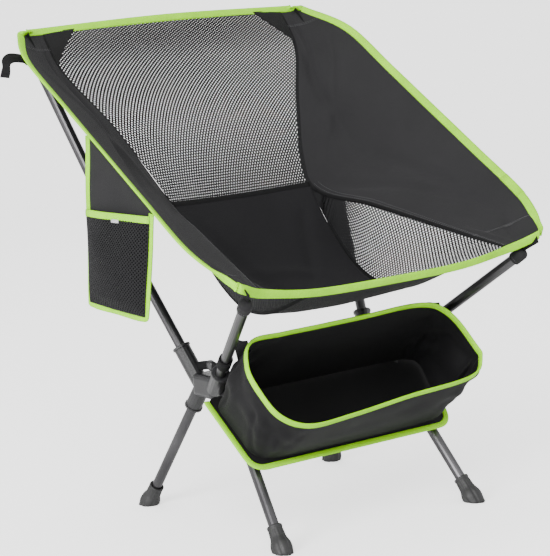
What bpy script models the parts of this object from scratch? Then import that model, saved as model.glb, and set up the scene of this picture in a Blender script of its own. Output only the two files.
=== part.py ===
# Ultralight backpacking chair: shock-corded X frame, sling seat with mesh back,
# side pocket for a phone and a storage bag slung between the front poles.
# Metres, +Z up, front towards -Y. x runs across the chair, and 1 is its right side.
import math

import bmesh
import bpy
from mathutils import Vector

# ---- frame: poles, legs, hubs ------------------------------------------------
POLE_OD = 0.0135          # outside diameter of every pole and leg
POLE_WALL = 0.0010
CROSSBAR_OD = 0.0160
CROSSBAR_WALL = 0.0012
FIT_GAP = 0.0005          # radial clearance of a pole in its socket
TOUCH_GAP = 0.0004        # clearance where two pieces meet face to face
SIDES = 16                # facets of a pole
HUB_X = 0.1345            # hub centre, from the chair's middle
HUB_Z = 0.1826
HUB_Y = -0.0195           # hub line, from the middle of the chair's outline
CHAIR_X = 0.0067          # the side pocket widens the outline on the left only
BACK_ROOT = (HUB_X + 0.0015, 0.0207, HUB_Z - 0.0011)     # where each axis meets the hub
FRONT_ROOT = (HUB_X + 0.0080, -0.0229, HUB_Z + 0.0012)
FRONT_LEG_ROOT = (HUB_X - 0.0065, -0.0229, HUB_Z + 0.0012)
REAR_LEG_ROOT = (HUB_X - 0.0025, 0.0207, HUB_Z - 0.0011)
ROOT_GAP = 0.0090         # from that point to the end of the tube
SLEEVE_OD = POLE_OD + 0.0080
SLEEVE_LIP = 0.0014       # how far the rim of a sleeve stands proud
SLEEVE_LIP_LENGTH = 0.0040
BACK_SLEEVE = 0.0560      # sleeve lengths along their axes, from the root point
FRONT_SLEEVE = 0.0460
LEG_SLEEVE = 0.0420
BAR_DEPTH = 0.0020        # how far the crossbar's end passes the hub's centre
FOOT_X = HUB_X + 0.0180   # feet, from the chair's middle and from the hub line
FRONT_FOOT_Y = -0.1665
REAR_FOOT_Y = 0.1510
FOOT_GRIP = 0.0240        # how much of the leg the rubber foot covers
FOOT_COLLAR_R = POLE_OD / 2 + 0.00305
FOOT_FLARE_R = POLE_OD / 2 + 0.00675
KNEE_SHARE = 0.518        # ferrule joint of the back pole, as a share of its height
KNEE_BOW = 0.0050         # how far the pole bows out and back there
FERRULE_LENGTH = 0.0900
BACK_TIP_SETBACK = 1.8 * POLE_OD        # pole end, from the seat's corner along the pole
FRONT_TIP_SETBACK = 2.2 * POLE_OD
TIP_DOWN = 0.0090         # back pole's axis at the seat's corner: down the rim,
TIP_BEHIND = 0.0071       # behind the side panel and in from the rim
TIP_INWARD = 0.0115
CORD_D = 0.0030
KNOT_D = 0.0050

# ---- seat sling --------------------------------------------------------------
SEAT_HALF_WIDTH = 0.2585  # side rim, from the middle
SEAT_HEIGHT = 0.3470      # front corners
BACK_HEIGHT = 0.6380      # back corners
CORNER_BACK = (SEAT_HALF_WIDTH - 0.0289, 0.2641, BACK_HEIGHT)
CORNER_FRONT = (SEAT_HALF_WIDTH - 0.0250, -0.2310, SEAT_HEIGHT)
RIM_BACK = (SEAT_HALF_WIDTH - 0.0010, 0.1900, BACK_HEIGHT - 0.0340)
RIM_FRONT = (SEAT_HALF_WIDTH - 0.0010, -0.1650, SEAT_HEIGHT + 0.0420)
BACK_TOP = (0.0, 0.2620, BACK_HEIGHT + 0.0020)
FRONT_EDGE = (0.0, -0.2160, SEAT_HEIGHT - 0.0265)
SEAT_LOW = (0.0, -0.0900, SEAT_HEIGHT - 0.0720)
BACK_FOOT = (0.0, 0.1120, SEAT_HEIGHT + 0.0545)         # where the back mesh meets the seat
PANEL = 0.0020            # thickness of a fabric panel
BINDING_D = 0.0070        # bound edge
EDGE_INSET = BINDING_D / 2 + 0.0027     # fabric edge, inside the binding's middle
SEAM = 0.0010             # gap between two panels at a seam
POCKET_WALL = 0.0016      # fabric sleeve on a pole's end
POCKET_DEPTH = 0.0340
TAB_WIDTH = 0.0160
TAB_LENGTH = 0.0340

# ---- storage bag -------------------------------------------------------------
BAG_WALL = 0.0020
BAG_TOP = (HUB_X + 0.0155, -0.1355, HUB_Z + 0.0774)      # upper corner of the mouth
BAG_LIP = (HUB_X + 0.0295, -0.1834, HUB_Z - 0.0186)      # lower corner of the mouth
BAG_BASE_FRONT = (HUB_X + 0.0135, -0.1150, HUB_Z - 0.0806)
BAG_BASE_BACK = (HUB_X + 0.0295, -0.0235 - SLEEVE_OD, HUB_Z - 0.0086)
BAG_BELLY = 0.0100        # how far the mouth's sides swell
STRAP_WIDTH = 0.0220
STRAP_THICK = 0.0016

# ---- phone pocket ------------------------------------------------------------
FLAP_BACK = 0.0455        # ends of the seam along the rim, in y from the hub line
FLAP_FRONT = -0.0956
FLAP_MOUTH = 0.0100       # the pocket's mouth, below the seam's front end
FLAP_HEIGHT = 0.1130      # mouth to foot
FLAP_TILT = math.radians(5.5)           # it stands off the vertical by its own stiffness
FLAP_PANEL = 0.0016
FLAP_BULGE = 0.0140       # depth of the mesh pouch
FLAP_TAPER = 0.0140       # how much the foot of the pocket narrows at each side
FLAP_GAP = 0.0012         # between the rim binding and the flap

SIDE_NAMES = {-1: "left", 1: "right"}


def clear_scene():
    for item in list(bpy.data.objects):
        bpy.data.objects.remove(item, do_unlink=True)


def make_material(name, colour, roughness, metallic=0.0):
    material = bpy.data.materials.new(name)
    material.use_nodes = True
    shader = material.node_tree.nodes["Principled BSDF"]
    shader.inputs["Base Color"].default_value = (*colour, 1.0)
    shader.inputs["Roughness"].default_value = roughness
    shader.inputs["Metallic"].default_value = metallic
    return material


def add_object(name, data, material, parent, helper=False):
    item = bpy.data.objects.new(name, data)
    bpy.context.collection.objects.link(item)
    item.parent = parent
    if material is not None:
        data.materials.append(material)
    if helper:
        item.hide_render = True
        item.display_type = "WIRE"
    return item


def mesh_from(bm, name, smooth=True):
    bmesh.ops.remove_doubles(bm, verts=bm.verts, dist=1e-6)
    bmesh.ops.recalc_face_normals(bm, faces=bm.faces)
    mesh = bpy.data.meshes.new(name)
    bm.to_mesh(mesh)
    bm.free()
    if smooth:
        mesh.shade_smooth()
        mesh.set_sharp_from_angle(angle=math.radians(35))
    return mesh


def turned_mesh(name, profile, sides=SIDES, closed=False):
    """Spins (radius, height) points about Z. closed joins the last point to the first."""
    bm = bmesh.new()
    verts = [bm.verts.new((radius, 0.0, height)) for radius, height in profile]
    edges = [bm.edges.new(pair) for pair in zip(verts, verts[1:])]
    if closed:
        edges.append(bm.edges.new((verts[-1], verts[0])))
    bmesh.ops.spin(bm, geom=verts + edges, cent=(0, 0, 0), axis=(0, 0, 1),
                   angle=2 * math.pi, steps=sides, use_merge=True)
    return mesh_from(bm, name)


def aim(item, start, towards):
    """Places a turned piece with its foot at start and its axis along towards."""
    item.location = start
    item.rotation_mode = "QUATERNION"
    item.rotation_quaternion = Vector(towards).to_track_quat("Z", "Y")


def tube_profile(radius, wall, length):
    inner = radius - wall
    return [(radius, 0.0), (radius, length), (inner, length), (inner, 0.0)]


def rod_profile(radius, length):
    return [(0.0, 0.0), (radius, 0.0), (radius, length), (0.0, length)]


def boolean(item, others, operation):
    """Joins or cuts all the helpers at once, as one collection."""
    group = bpy.data.collections.new(item.name + "_" + operation.lower())
    for other in others:
        group.objects.link(other)
    modifier = item.modifiers.new(operation.title(), "BOOLEAN")
    modifier.operation = operation
    modifier.solver = "EXACT"
    modifier.operand_type = "COLLECTION"
    modifier.collection = group


def mirrored(point, side):
    return Vector((side * point[0], point[1], point[2]))


# ---- curves of the sling -----------------------------------------------------

def smooth_point(points, t):
    """Catmull-Rom through points; t runs from 0 to len(points) - 1."""
    last = len(points) - 1
    i = min(int(t), last - 1)
    f = t - i
    p1 = points[i]
    p2 = points[i + 1]
    p0 = points[i - 1] if i > 0 else p1 * 2 - p2
    p3 = points[i + 2] if i + 2 <= last else p2 * 2 - p1
    a = p1 * 2
    b = p2 - p0
    c = p0 * 2 - p1 * 5 + p2 * 4 - p3
    d = p1 * 3 - p0 - p2 * 3 + p3
    return (a + b * f + c * f * f + d * f ** 3) * 0.5


def along(start, end, share):
    return Vector(start).lerp(Vector(end), share)


def rim_points():
    back = Vector(RIM_BACK)
    front = Vector(RIM_FRONT)
    middle = []
    for share in (0.25, 0.5, 0.75):
        point = back.lerp(front, share)
        point.x = SEAT_HALF_WIDTH
        middle.append(point)
    return [Vector(CORNER_BACK), back, *middle, front, Vector(CORNER_FRONT)]


def centre_points():
    top = Vector(BACK_TOP)
    foot = Vector(BACK_FOOT)
    low = Vector(SEAT_LOW)
    sag = Vector((0, 0.005, 0))
    knee = Vector((0, foot.y - 0.112, low.z + 0.021))
    return [top, along(top, foot, 0.24) + sag, along(top, foot, 0.55) + sag, foot, knee, low,
            Vector(FRONT_EDGE)]


def tape_points():
    """Seam of the side panel: down the back, then straight to the front rim."""
    corner = Vector(CORNER_BACK)
    foot = Vector(BACK_FOOT)
    head = Vector((corner.x - 0.034, corner.y + 0.003, corner.z))
    heel = foot + Vector((0.111, -0.012, 0.0035))
    toe = Vector((CORNER_FRONT[0] - 0.0435, FRONT_EDGE[1] - 0.001, FRONT_EDGE[2] + 0.0125))
    second = Vector((head.x - 0.005, along(head, heel, 0.26).y, along(head, heel, 0.24).z))
    third = along(head, heel, 0.56) + Vector((0.001, -0.003, 0))
    return [head, second, third, heel, heel.lerp(toe, 1 / 3), heel.lerp(toe, 2 / 3), toe]


def seat_seam_points():
    """Edge of the seat panel, below the side gusset."""
    tape = tape_points()
    centre = centre_points()
    bottom = [centre[4] + Vector((0.105, 0, 0.007)), centre[5] + Vector((0.110, 0, 0.006)),
              centre[6] + Vector((0.112, -0.0005, 0.002))]
    return tape[:4] + bottom


def centre_surface(u, t):
    """The back and seat strip: u from -1 to 1 across, t from 0 to 6 down."""
    middle = smooth_point(centre_points(), t)
    edge = smooth_point(seat_seam_points(), t)
    point = middle + (edge - middle) * (u * u)
    point.x = edge.x * u
    return point


def side_surface(w, t):
    """A side panel on the right: w from 0 at the tape to 1 at the rim."""
    tape = smooth_point(tape_points(), t)
    rim = smooth_point(rim_points(), t)
    inner = EDGE_INSET / max((rim - tape).length, 0.02)
    share = w * (1 - inner)
    point = tape.lerp(rim, share)
    point.z -= 0.003 * math.sin(math.pi * share)
    return point


def gusset_surface(w, t):
    """The mesh gusset between the seat panel and the side panel."""
    return smooth_point(seat_seam_points(), t).lerp(smooth_point(tape_points(), t), w)


def panel_object(name, rows, material, parent, side=1):
    """A closed sheet PANEL thick through a grid of points."""
    bm = bmesh.new()
    grid = [[bm.verts.new(mirrored(point, side)) for point in row] for row in rows]
    for upper, lower in zip(grid, grid[1:]):
        for i in range(len(upper) - 1):
            bm.faces.new((upper[i], upper[i + 1], lower[i + 1], lower[i]))
    item = add_object(name, mesh_from(bm, name), material, parent)
    solidify = item.modifiers.new("Thickness", "SOLIDIFY")
    solidify.thickness = PANEL
    solidify.offset = 0.0
    return item


def span(first, last, count):
    return [first + (last - first) * i / (count - 1) for i in range(count)]


def cord_curve(name, points, radius, material, parent, cyclic=False, resolution=2):
    curve = bpy.data.curves.new(name, "CURVE")
    curve.dimensions = "3D"
    curve.bevel_depth = radius
    curve.bevel_resolution = resolution
    curve.use_fill_caps = True
    spline = curve.splines.new("POLY")
    spline.points.add(len(points) - 1)
    for slot, point in zip(spline.points, points):
        slot.co = (*point, 1.0)
    spline.use_cyclic_u = cyclic
    return add_object(name, curve, material, parent)


# ---- frame pieces ------------------------------------------------------------

def back_tip_point():
    """Far end of the back pole's axis: inside the corner, behind the side panel."""
    corner = Vector(CORNER_BACK)
    down = (Vector(RIM_BACK) - corner).normalized()
    face = down.cross(tape_points()[0] - corner).normalized()
    return corner + down * TIP_DOWN + face * TIP_BEHIND + face.cross(down) * TIP_INWARD


def pole_axes(side):
    """Root, far end and direction of each tube on one side, from the hub line."""
    back_tip = back_tip_point()
    front_tip = Vector(CORNER_FRONT) + Vector((-0.0126, -0.0035, -0.0079))
    knee = along(BACK_ROOT, back_tip, KNEE_SHARE) + Vector((KNEE_BOW, KNEE_BOW, 0))
    ends = {
        "back_lower": (BACK_ROOT, knee),
        "back_upper": (knee, back_tip),
        "front": (FRONT_ROOT, front_tip),
        "front_leg": (FRONT_LEG_ROOT, (FOOT_X, FRONT_FOOT_Y, 0.0)),
        "rear_leg": (REAR_LEG_ROOT, (FOOT_X, REAR_FOOT_Y, 0.0)),
    }
    axes = {}
    for name, (start, end) in ends.items():
        first = mirrored(start, side)
        last = mirrored(end, side)
        axes[name] = (first, last, (last - first).normalized())
    return axes


def make_hub(side, axes, plastic, parent):
    """One moulded body: a core, four sleeves and the crossbar's socket."""
    name = "hub_" + SIDE_NAMES[side]
    radius = SLEEVE_OD / 2
    core = bmesh.new()
    bmesh.ops.create_cube(core, size=1.0)
    bmesh.ops.scale(core, vec=(0.030, 0.046, 0.030), verts=core.verts)
    bmesh.ops.bevel(core, geom=core.edges[:], offset=0.006, segments=3, affect="EDGES", profile=0.5)
    hub = add_object(name, mesh_from(core, name), plastic, parent)
    hub.location = (side * HUB_X, 0.0, HUB_Z)
    lengths = {"back_lower": BACK_SLEEVE, "front": FRONT_SLEEVE, "front_leg": LEG_SLEEVE,
               "rear_leg": LEG_SLEEVE}
    bodies = []
    for key, length in lengths.items():
        start, _, direction = axes[key]
        lip = radius + SLEEVE_LIP
        neck = length - SLEEVE_LIP_LENGTH
        profile = [(0.0, -0.006), (radius - 0.002, -0.006), (radius, -0.004), (radius, neck),
                   (lip, neck + 0.0008), (lip, length - 0.0008), (lip - 0.0008, length), (0.0, length)]
        sleeve = add_object(name + "_" + key + "_body", turned_mesh(name, profile), None, parent, True)
        aim(sleeve, start, direction)
        bodies.append(sleeve)
    inward = Vector((-side, 0, 0))
    bar_radius = CROSSBAR_OD / 2
    socket = add_object(name + "_bar_body", turned_mesh(name, rod_profile(bar_radius + 0.0032, 0.041)), None,
                        parent, True)
    aim(socket, (side * (HUB_X + 0.005), 0.0, HUB_Z), inward)
    bodies.append(socket)
    boolean(hub, bodies, "UNION")
    bores = []
    for key, length in lengths.items():
        start, _, direction = axes[key]
        bore = POLE_OD / 2 + FIT_GAP
        passage = KNOT_D / 2 + 0.0007
        floor = ROOT_GAP - TOUCH_GAP
        profile = [(0.0, floor - 0.008), (passage, floor - 0.008), (passage, floor), (bore, floor),
                   (bore, length + 0.004), (0.0, length + 0.004)]
        cutter = add_object(name + "_" + key + "_bore", turned_mesh(name, profile), None, parent, True)
        aim(cutter, start, direction)
        bores.append(cutter)
    profile = rod_profile(bar_radius + FIT_GAP, 0.060)
    cutter = add_object(name + "_bar_bore", turned_mesh(name, profile), None, parent, True)
    aim(cutter, (side * (HUB_X + BAR_DEPTH), 0.0, HUB_Z), inward)
    bores.append(cutter)
    boolean(hub, bores, "DIFFERENCE")
    return hub


def make_crossbar(metal, parent):
    """Tube between the hubs, its ends seated in their sockets."""
    seat_x = HUB_X + BAR_DEPTH - TOUCH_GAP
    profile = tube_profile(CROSSBAR_OD / 2, CROSSBAR_WALL, 2 * seat_x)
    bar = add_object("crossbar", turned_mesh("crossbar", profile, closed=True), metal, parent)
    aim(bar, (-seat_x, 0.0, HUB_Z), (1, 0, 0))


def make_tube(name, start, end, metal, parent):
    length = (end - start).length
    mesh = turned_mesh(name, tube_profile(POLE_OD / 2, POLE_WALL, length), closed=True)
    tube = add_object(name, mesh, metal, parent)
    aim(tube, start, end - start)
    return tube


def cord_profile(length):
    """Elastic cord with a knot at its foot."""
    radius = CORD_D / 2
    knot = KNOT_D / 2
    return [(0.0, 0.0), (knot * 0.7, 0.0004), (knot, 0.0016), (knot, 0.0030), (knot * 0.7, 0.0042),
            (radius, 0.0050), (radius, length), (0.0, length)]


def make_cord(name, start, end, cord, parent):
    length = (end - start).length
    item = add_object(name, turned_mesh(name, cord_profile(length), sides=8), cord, parent)
    aim(item, start, end - start)


def make_cap(name, end, direction, plastic, parent):
    """Domed plug in the end of a pole, with a hole for the cord's tail."""
    radius = POLE_OD / 2
    stem = radius - POLE_WALL - 0.0003
    hole = CORD_D / 2 + 0.0004
    profile = [(hole, -0.010), (stem, -0.010), (stem, TOUCH_GAP), (radius, TOUCH_GAP), (radius, 0.0016),
               (radius * 0.86, 0.0034), (radius * 0.5, 0.0046), (hole, 0.0048)]
    item = add_object(name, turned_mesh(name, profile, closed=True), plastic, parent)
    aim(item, end, direction)


def make_foot(name, leg_end, direction, rubber, parent):
    """Rubber foot pushed over the leg, with a collar, ribs and a flat tread."""
    bore = POLE_OD / 2 + FIT_GAP
    collar = FOOT_COLLAR_R
    flare = FOOT_FLARE_R
    drop = leg_end.z / -direction.z
    top = -FOOT_GRIP
    profile = [(0.0, drop + 0.016), (flare * 0.9, drop + 0.016), (flare, 0.004), (flare * 0.93, -0.001),
               (collar * 0.93, -0.008), (collar * 0.93, top + 0.004), (collar, top + 0.0035),
               (collar, top + 0.0005), (collar - 0.0005, top), (bore, top), (bore, TOUCH_GAP),
               (0.0, TOUCH_GAP)]
    foot = add_object(name, turned_mesh(name, profile[::-1]), rubber, parent)
    aim(foot, leg_end, direction)
    cutter_mesh = bmesh.new()
    bmesh.ops.create_cube(cutter_mesh, size=0.1)
    bmesh.ops.translate(cutter_mesh, vec=(0, 0, -0.05), verts=cutter_mesh.verts)
    ground = add_object(name + "_ground", mesh_from(cutter_mesh, name, False), None, parent, True)
    ground.location = (leg_end.x, leg_end.y, 0.0)
    boolean(foot, [ground], "DIFFERENCE")


def make_leg(side, key, label, axes, looks, parent):
    """A leg slides out of its hub: its empty sits at the root, and the leg, foot and cord hang on it."""
    root, ground_point, direction = axes[key]
    start = root + direction * ROOT_GAP
    end = ground_point - direction * 0.0120
    name = label + "_" + SIDE_NAMES[side]
    pivot = bpy.data.objects.new(name + "_slide", None)
    bpy.context.collection.objects.link(pivot)
    pivot.parent = parent
    pivot.location = root
    make_tube("leg_" + name, start - root, end - root, looks["metal"], pivot)
    cord_start = root + direction * (ROOT_GAP - 0.0075)
    make_cord("shock_cord_leg_" + name, cord_start - root, end - root - direction * 0.002, looks["cord"], pivot)
    foot_offset = end - root
    make_foot_on(pivot, "foot_" + name, foot_offset, end, direction, looks["rubber"])


def make_foot_on(pivot, name, offset, leg_end, direction, rubber):
    """Builds the foot at the chair's level, then hangs it on the leg's empty."""
    make_foot(name, leg_end, direction, rubber, pivot.parent)
    for suffix in ("", "_ground"):
        piece = bpy.data.objects[name + suffix]
        piece.parent = pivot
        piece.location = piece.location - pivot.location
    bpy.data.objects[name].location = offset


def make_back_pole(side, axes, looks, parent):
    name = SIDE_NAMES[side]
    root, knee, low_direction = axes["back_lower"]
    _, tip, high_direction = axes["back_upper"]
    joint_gap = 0.0006
    low_start = root + low_direction * ROOT_GAP
    low_end = knee - low_direction * joint_gap
    high_start = knee + high_direction * joint_gap
    high_end = tip - high_direction * BACK_TIP_SETBACK
    make_tube("back_pole_lower_" + name, low_start, low_end, looks["metal"], parent)
    make_tube("back_pole_upper_" + name, high_start, high_end, looks["metal"], parent)
    make_ferrule("ferrule_" + name, knee, low_direction, high_direction, looks["ferrule"], parent)
    half = FERRULE_LENGTH / 2 + 0.002
    make_cord("shock_cord_back_lower_" + name, root + low_direction * (ROOT_GAP - 0.0075),
              knee - low_direction * half, looks["cord"], parent)
    make_cord("shock_cord_back_upper_" + name, high_end - high_direction * 0.0120, knee + high_direction * half,
              looks["cord"], parent)
    make_cap("pole_cap_back_" + name, high_end, high_direction, looks["plastic"], parent)
    make_tip_pocket("tip_pocket_back_" + name, high_end, high_direction, looks["fabric"], parent)


def make_ferrule(name, knee, low_direction, high_direction, metal, parent):
    """Inner tube that joins the two sections; its middle follows the slight kink."""
    radius = POLE_OD / 2 - POLE_WALL - 0.0004
    half = FERRULE_LENGTH / 2
    points = [knee - low_direction * half, knee - low_direction * 0.004,
              knee + high_direction * 0.004, knee + high_direction * half]
    cord_curve(name, points, radius, metal, parent, resolution=3)


def make_front_pole(side, axes, looks, parent):
    name = SIDE_NAMES[side]
    root, tip, direction = axes["front"]
    start = root + direction * ROOT_GAP
    end = tip - direction * FRONT_TIP_SETBACK
    make_tube("front_pole_" + name, start, end, looks["metal"], parent)
    make_cord("shock_cord_front_" + name, root + direction * (ROOT_GAP - 0.0075), end - direction * 0.0120,
              looks["cord"], parent)
    make_cap("pole_cap_front_" + name, end, direction, looks["plastic"], parent)
    make_tip_pocket("tip_pocket_front_" + name, end, direction, looks["fabric"], parent)


def make_tip_pocket(name, end, direction, fabric, parent):
    """Fabric sleeve sewn to the sling's corner; the pole's end pushes into it."""
    inner = POLE_OD / 2 + 0.0005
    outer = inner + POCKET_WALL
    floor = 0.0054
    profile = [(0.0, floor), (inner * 0.85, floor), (inner, floor - 0.002), (inner, -POCKET_DEPTH),
               (outer, -POCKET_DEPTH), (outer, floor - 0.002), (outer * 0.85, floor + POCKET_WALL),
               (0.0, floor + POCKET_WALL)]
    item = add_object(name, turned_mesh(name, profile), fabric, parent)
    aim(item, end, direction)


# ---- sling -------------------------------------------------------------------

def make_sling(looks, parent):
    heel = 3.0
    end_t = EDGE_INSET / 0.062
    rows = [[centre_surface(u, t) for u in span(-0.985, 0.985, 11)] for t in span(end_t, heel - 0.012, 9)]
    panel_object("back_mesh", rows, looks["mesh"], parent)
    front_t = 6.0 - EDGE_INSET / 0.127
    rows = [[centre_surface(u, t) for u in span(-0.985, 0.985, 11)] for t in span(heel + 0.012, front_t, 11)]
    panel_object("seat_panel", rows, looks["fabric"], parent)
    for side in (-1, 1):
        name = SIDE_NAMES[side]
        rows = [[side_surface(w, t) for w in span(0.016, 1.0, 6)] for t in span(end_t + 0.04, front_t - 0.02, 16)]
        panel_object("side_panel_" + name, rows, looks["fabric"], parent, side)
        rows = []
        for t in span(heel + 0.42, front_t, 9):
            width = (gusset_surface(1, t) - gusset_surface(0, t)).length
            gap = (PANEL + SEAM) / width
            rows.append([gusset_surface(w, t) for w in span(gap, 1 - gap, 4)])
        panel_object("side_mesh_" + name, rows, looks["mesh"], parent, side)
        make_tab(side, looks, parent)
    cord_curve("rim_binding", rim_loop(), BINDING_D / 2, looks["lime"], parent, True, 2)


def rim_loop():
    """Closed line of the bound edge, round the whole sling."""
    tape = tape_points()
    seam = seat_seam_points()
    right = [tape[0], *rim_points(), tape[6], seam[6]]
    keys = [Vector(BACK_TOP)] + right + [Vector(FRONT_EDGE)] + [mirrored(p, -1) for p in reversed(right)]
    count = len(keys)
    ring = keys[-2:] + keys + keys[:3]
    loop = []
    steps = 3
    for i in range(count):
        for j in range(steps):
            loop.append(smooth_point(ring, i + 2 + j / steps))
    return loop


def make_tab(side, looks, parent):
    """Webbing pull tab at the back corner: a folded strip that hangs off the pole pocket."""
    corner = mirrored(CORNER_BACK, side)
    root = corner + Vector((side * 0.0075, -0.0050, -0.0260))
    bm = bmesh.new()
    half = TAB_WIDTH / 2
    path = [root, root + Vector((side * 0.016, 0.001, 0.004)), root + Vector((side * 0.028, 0.001, 0.001)),
            root + Vector((side * TAB_LENGTH, 0.001, -0.016))]
    across = Vector((0, 1, 0)) * half
    rows = [[point - across, point + across] for point in path]
    grid = [[bm.verts.new(point) for point in row] for row in rows]
    for upper, lower in zip(grid, grid[1:]):
        bm.faces.new((upper[0], upper[1], lower[1], lower[0]))
    name = "pull_tab_" + SIDE_NAMES[side]
    tab = add_object(name, mesh_from(bm, name), looks["webbing"], parent)
    solidify = tab.modifiers.new("Thickness", "SOLIDIFY")
    solidify.thickness = 0.0016
    solidify.offset = 0.0


# ---- storage bag -------------------------------------------------------------

def rounded_loop(first, second, round_off, swell, count):
    """Closed loop through four corners: first is the upper pair, second the lower pair.
    Each is a point on the right; the left one is its mirror."""
    upper = Vector(first)
    lower = Vector(second)
    corners = [mirrored(upper, -1), upper, lower, mirrored(lower, -1)]
    loop = []
    for i, corner in enumerate(corners):
        before = corners[i - 1]
        after = corners[(i + 1) % 4]
        start = corner + (before - corner).normalized() * round_off
        end = corner + (after - corner).normalized() * round_off
        for j in range(count):
            f = j / (count - 1)
            loop.append(start * (1 - f) ** 2 + corner * 2 * f * (1 - f) + end * f * f)
    for point in loop:
        middle = (upper.z + lower.z) / 2
        height = abs(upper.z - lower.z) / 2
        reach = max(0.0, 1 - ((point.z - middle) / height) ** 2)
        point.x += math.copysign(swell * reach, point.x)
    return loop


def make_bag(looks, parent):
    mouth = rounded_loop(BAG_TOP, BAG_LIP, 0.034, BAG_BELLY, 6)
    base = rounded_loop(BAG_BASE_BACK, BAG_BASE_FRONT, 0.010, 0.0, 6)
    levels = 5
    bm = bmesh.new()
    rings = []
    for i in range(levels):
        share = 0.035 + 0.965 * i / (levels - 1)
        ring = []
        for top, bottom in zip(mouth, base):
            point = top.lerp(bottom, share)
            swell = 0.006 * math.sin(math.pi * share)
            point.x += math.copysign(swell, point.x)
            ring.append(bm.verts.new(point))
        rings.append(ring)
    count = len(mouth)
    for upper, lower in zip(rings, rings[1:]):
        for i in range(count):
            j = (i + 1) % count
            bm.faces.new((upper[i], upper[j], lower[j], lower[i]))
    bm.faces.new(rings[-1])
    bag = add_object("storage_bag", mesh_from(bm, "storage_bag"), looks["fabric"], parent)
    solidify = bag.modifiers.new("Thickness", "SOLIDIFY")
    solidify.thickness = BAG_WALL
    solidify.offset = -1.0
    solidify.use_even_offset = True
    cord_curve("bag_rim_binding", mouth, 0.0030, looks["lime"], parent, True, 2)
    make_base_binding(base, looks, parent)


def make_base_binding(base, looks, parent):
    """Bound seam along the sides and the front of the bag's base panel."""
    centre = sum(base, Vector()) / len(base)
    order = base[9:21]
    left = [mirrored(BAG_BASE_BACK, -1) + Vector((0, 0, -0.004))]
    right = [Vector(BAG_BASE_BACK) + Vector((0, 0, -0.004))]
    low_points = [p for p in order if p.z < centre.z]
    outline = right + low_points + left
    push = 0.0052
    points = []
    for point in outline:
        away = point - centre
        away.normalize()
        points.append(point + Vector((away.x * push, -push * 0.55, -push * 0.9)))
    cord_curve("bag_base_binding", points, 0.0024, looks["lime"], parent, False, 2)


def make_strap(side, axes, looks, parent):
    """Hook-and-loop strap that ties the bag to the front pole, above its sleeve."""
    root, _, direction = axes["front"]
    inner = POLE_OD / 2 + 0.0006
    outer = inner + STRAP_THICK
    name = "bag_strap_" + SIDE_NAMES[side]
    profile = [(inner, 0.0), (outer, 0.0), (outer, STRAP_WIDTH), (inner, STRAP_WIDTH)]
    item = add_object(name, turned_mesh(name, profile, closed=True), looks["webbing"], parent)
    aim(item, root + direction * (FRONT_SLEEVE + 0.004), direction)


# ---- phone pocket ------------------------------------------------------------

def rim_at(y):
    """Point of the right rim line at a given y."""
    points = rim_points()
    low, high = 0.0, 6.0
    for _ in range(40):
        middle = (low + high) / 2
        if smooth_point(points, middle).y > y:
            low = middle
        else:
            high = middle
    return smooth_point(points, low)


def make_pocket(looks, parent):
    """Flap on the left rim with a mesh pouch; it swings on the line of the bound edge."""
    rear = mirrored(rim_at(FLAP_BACK), -1)
    fore = mirrored(rim_at(FLAP_FRONT), -1)
    pivot = bpy.data.objects.new("phone_pocket_hinge", None)
    bpy.context.collection.objects.link(pivot)
    pivot.parent = parent
    pivot.location = rear
    down = Vector((-math.sin(FLAP_TILT), 0, -math.cos(FLAP_TILT)))
    forward = (fore - rear)
    slope = math.cos(FLAP_TILT)
    mouth_rear = down * ((FLAP_MOUTH - forward.z) / slope)
    mouth_fore = forward + down * (FLAP_MOUTH / slope)
    foot_rear = mouth_rear + down * (FLAP_HEIGHT / slope) + Vector((0, -FLAP_TAPER * 0.7, 0))
    foot_fore = mouth_fore + down * (FLAP_HEIGHT / slope) + Vector((0, FLAP_TAPER, -0.008))
    along_rim = forward.normalized()
    outward = along_rim.cross(down).normalized()
    if outward.x > 0:
        outward = -outward
    clear = (BINDING_D / 2 + FLAP_GAP) / down.cross(along_rim).length
    top_rear = down * clear + along_rim * 0.004
    top_fore = forward + down * clear - along_rim * 0.004
    outline = [top_rear, top_fore, mouth_fore, foot_fore, foot_rear, mouth_rear]
    panel = flat_piece("phone_pocket_panel", outline, -outward * FLAP_PANEL, looks["fabric"], pivot)
    pouch_rows = []
    for i in range(7):
        f = i / 6
        left = mouth_rear.lerp(foot_rear, f)
        right = mouth_fore.lerp(foot_fore, f)
        row = []
        for j in range(9):
            g = 0.03 + 0.94 * j / 8
            bulge = FLAP_BULGE * math.sin(math.pi * g) ** 0.8 * min(1.0, 1.35 * (1 - f) ** 0.5)
            row.append(left.lerp(right, g) + outward * (0.0020 + bulge))
        pouch_rows.append(row)
    pouch_rows[-1] = [point + Vector((0, 0, 0.004)) for point in pouch_rows[-1]]
    pouch = panel_object("phone_pocket_mesh", pouch_rows, looks["mesh"], pivot)
    pouch.modifiers["Thickness"].thickness = 0.0012
    edge = 0.0030
    corners = [mouth_rear, foot_rear, foot_fore, mouth_fore]
    middle = sum(corners, Vector()) / 4
    loop = []
    for point in corners:
        away = (point - middle).normalized()
        loop.append(point + away * (edge + 0.0012) * 1.3)
    loop[-1] += (foot_fore - mouth_fore).normalized() * 0.006
    loop.insert(0, top_rear + (mouth_rear - mouth_fore).normalized() * 0.0048 + down * 0.011)
    cord_curve("phone_pocket_binding", loop, 0.0022, looks["lime"], pivot, False, 2)
    return panel


def flat_piece(name, outline, thickness, material, parent):
    bm = bmesh.new()
    face = bm.faces.new([bm.verts.new(point) for point in outline])
    result = bmesh.ops.extrude_face_region(bm, geom=[face])
    moved = [v for v in result["geom"] if isinstance(v, bmesh.types.BMVert)]
    bmesh.ops.translate(bm, vec=thickness, verts=moved)
    return add_object(name, mesh_from(bm, name, False), material, parent)


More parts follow.
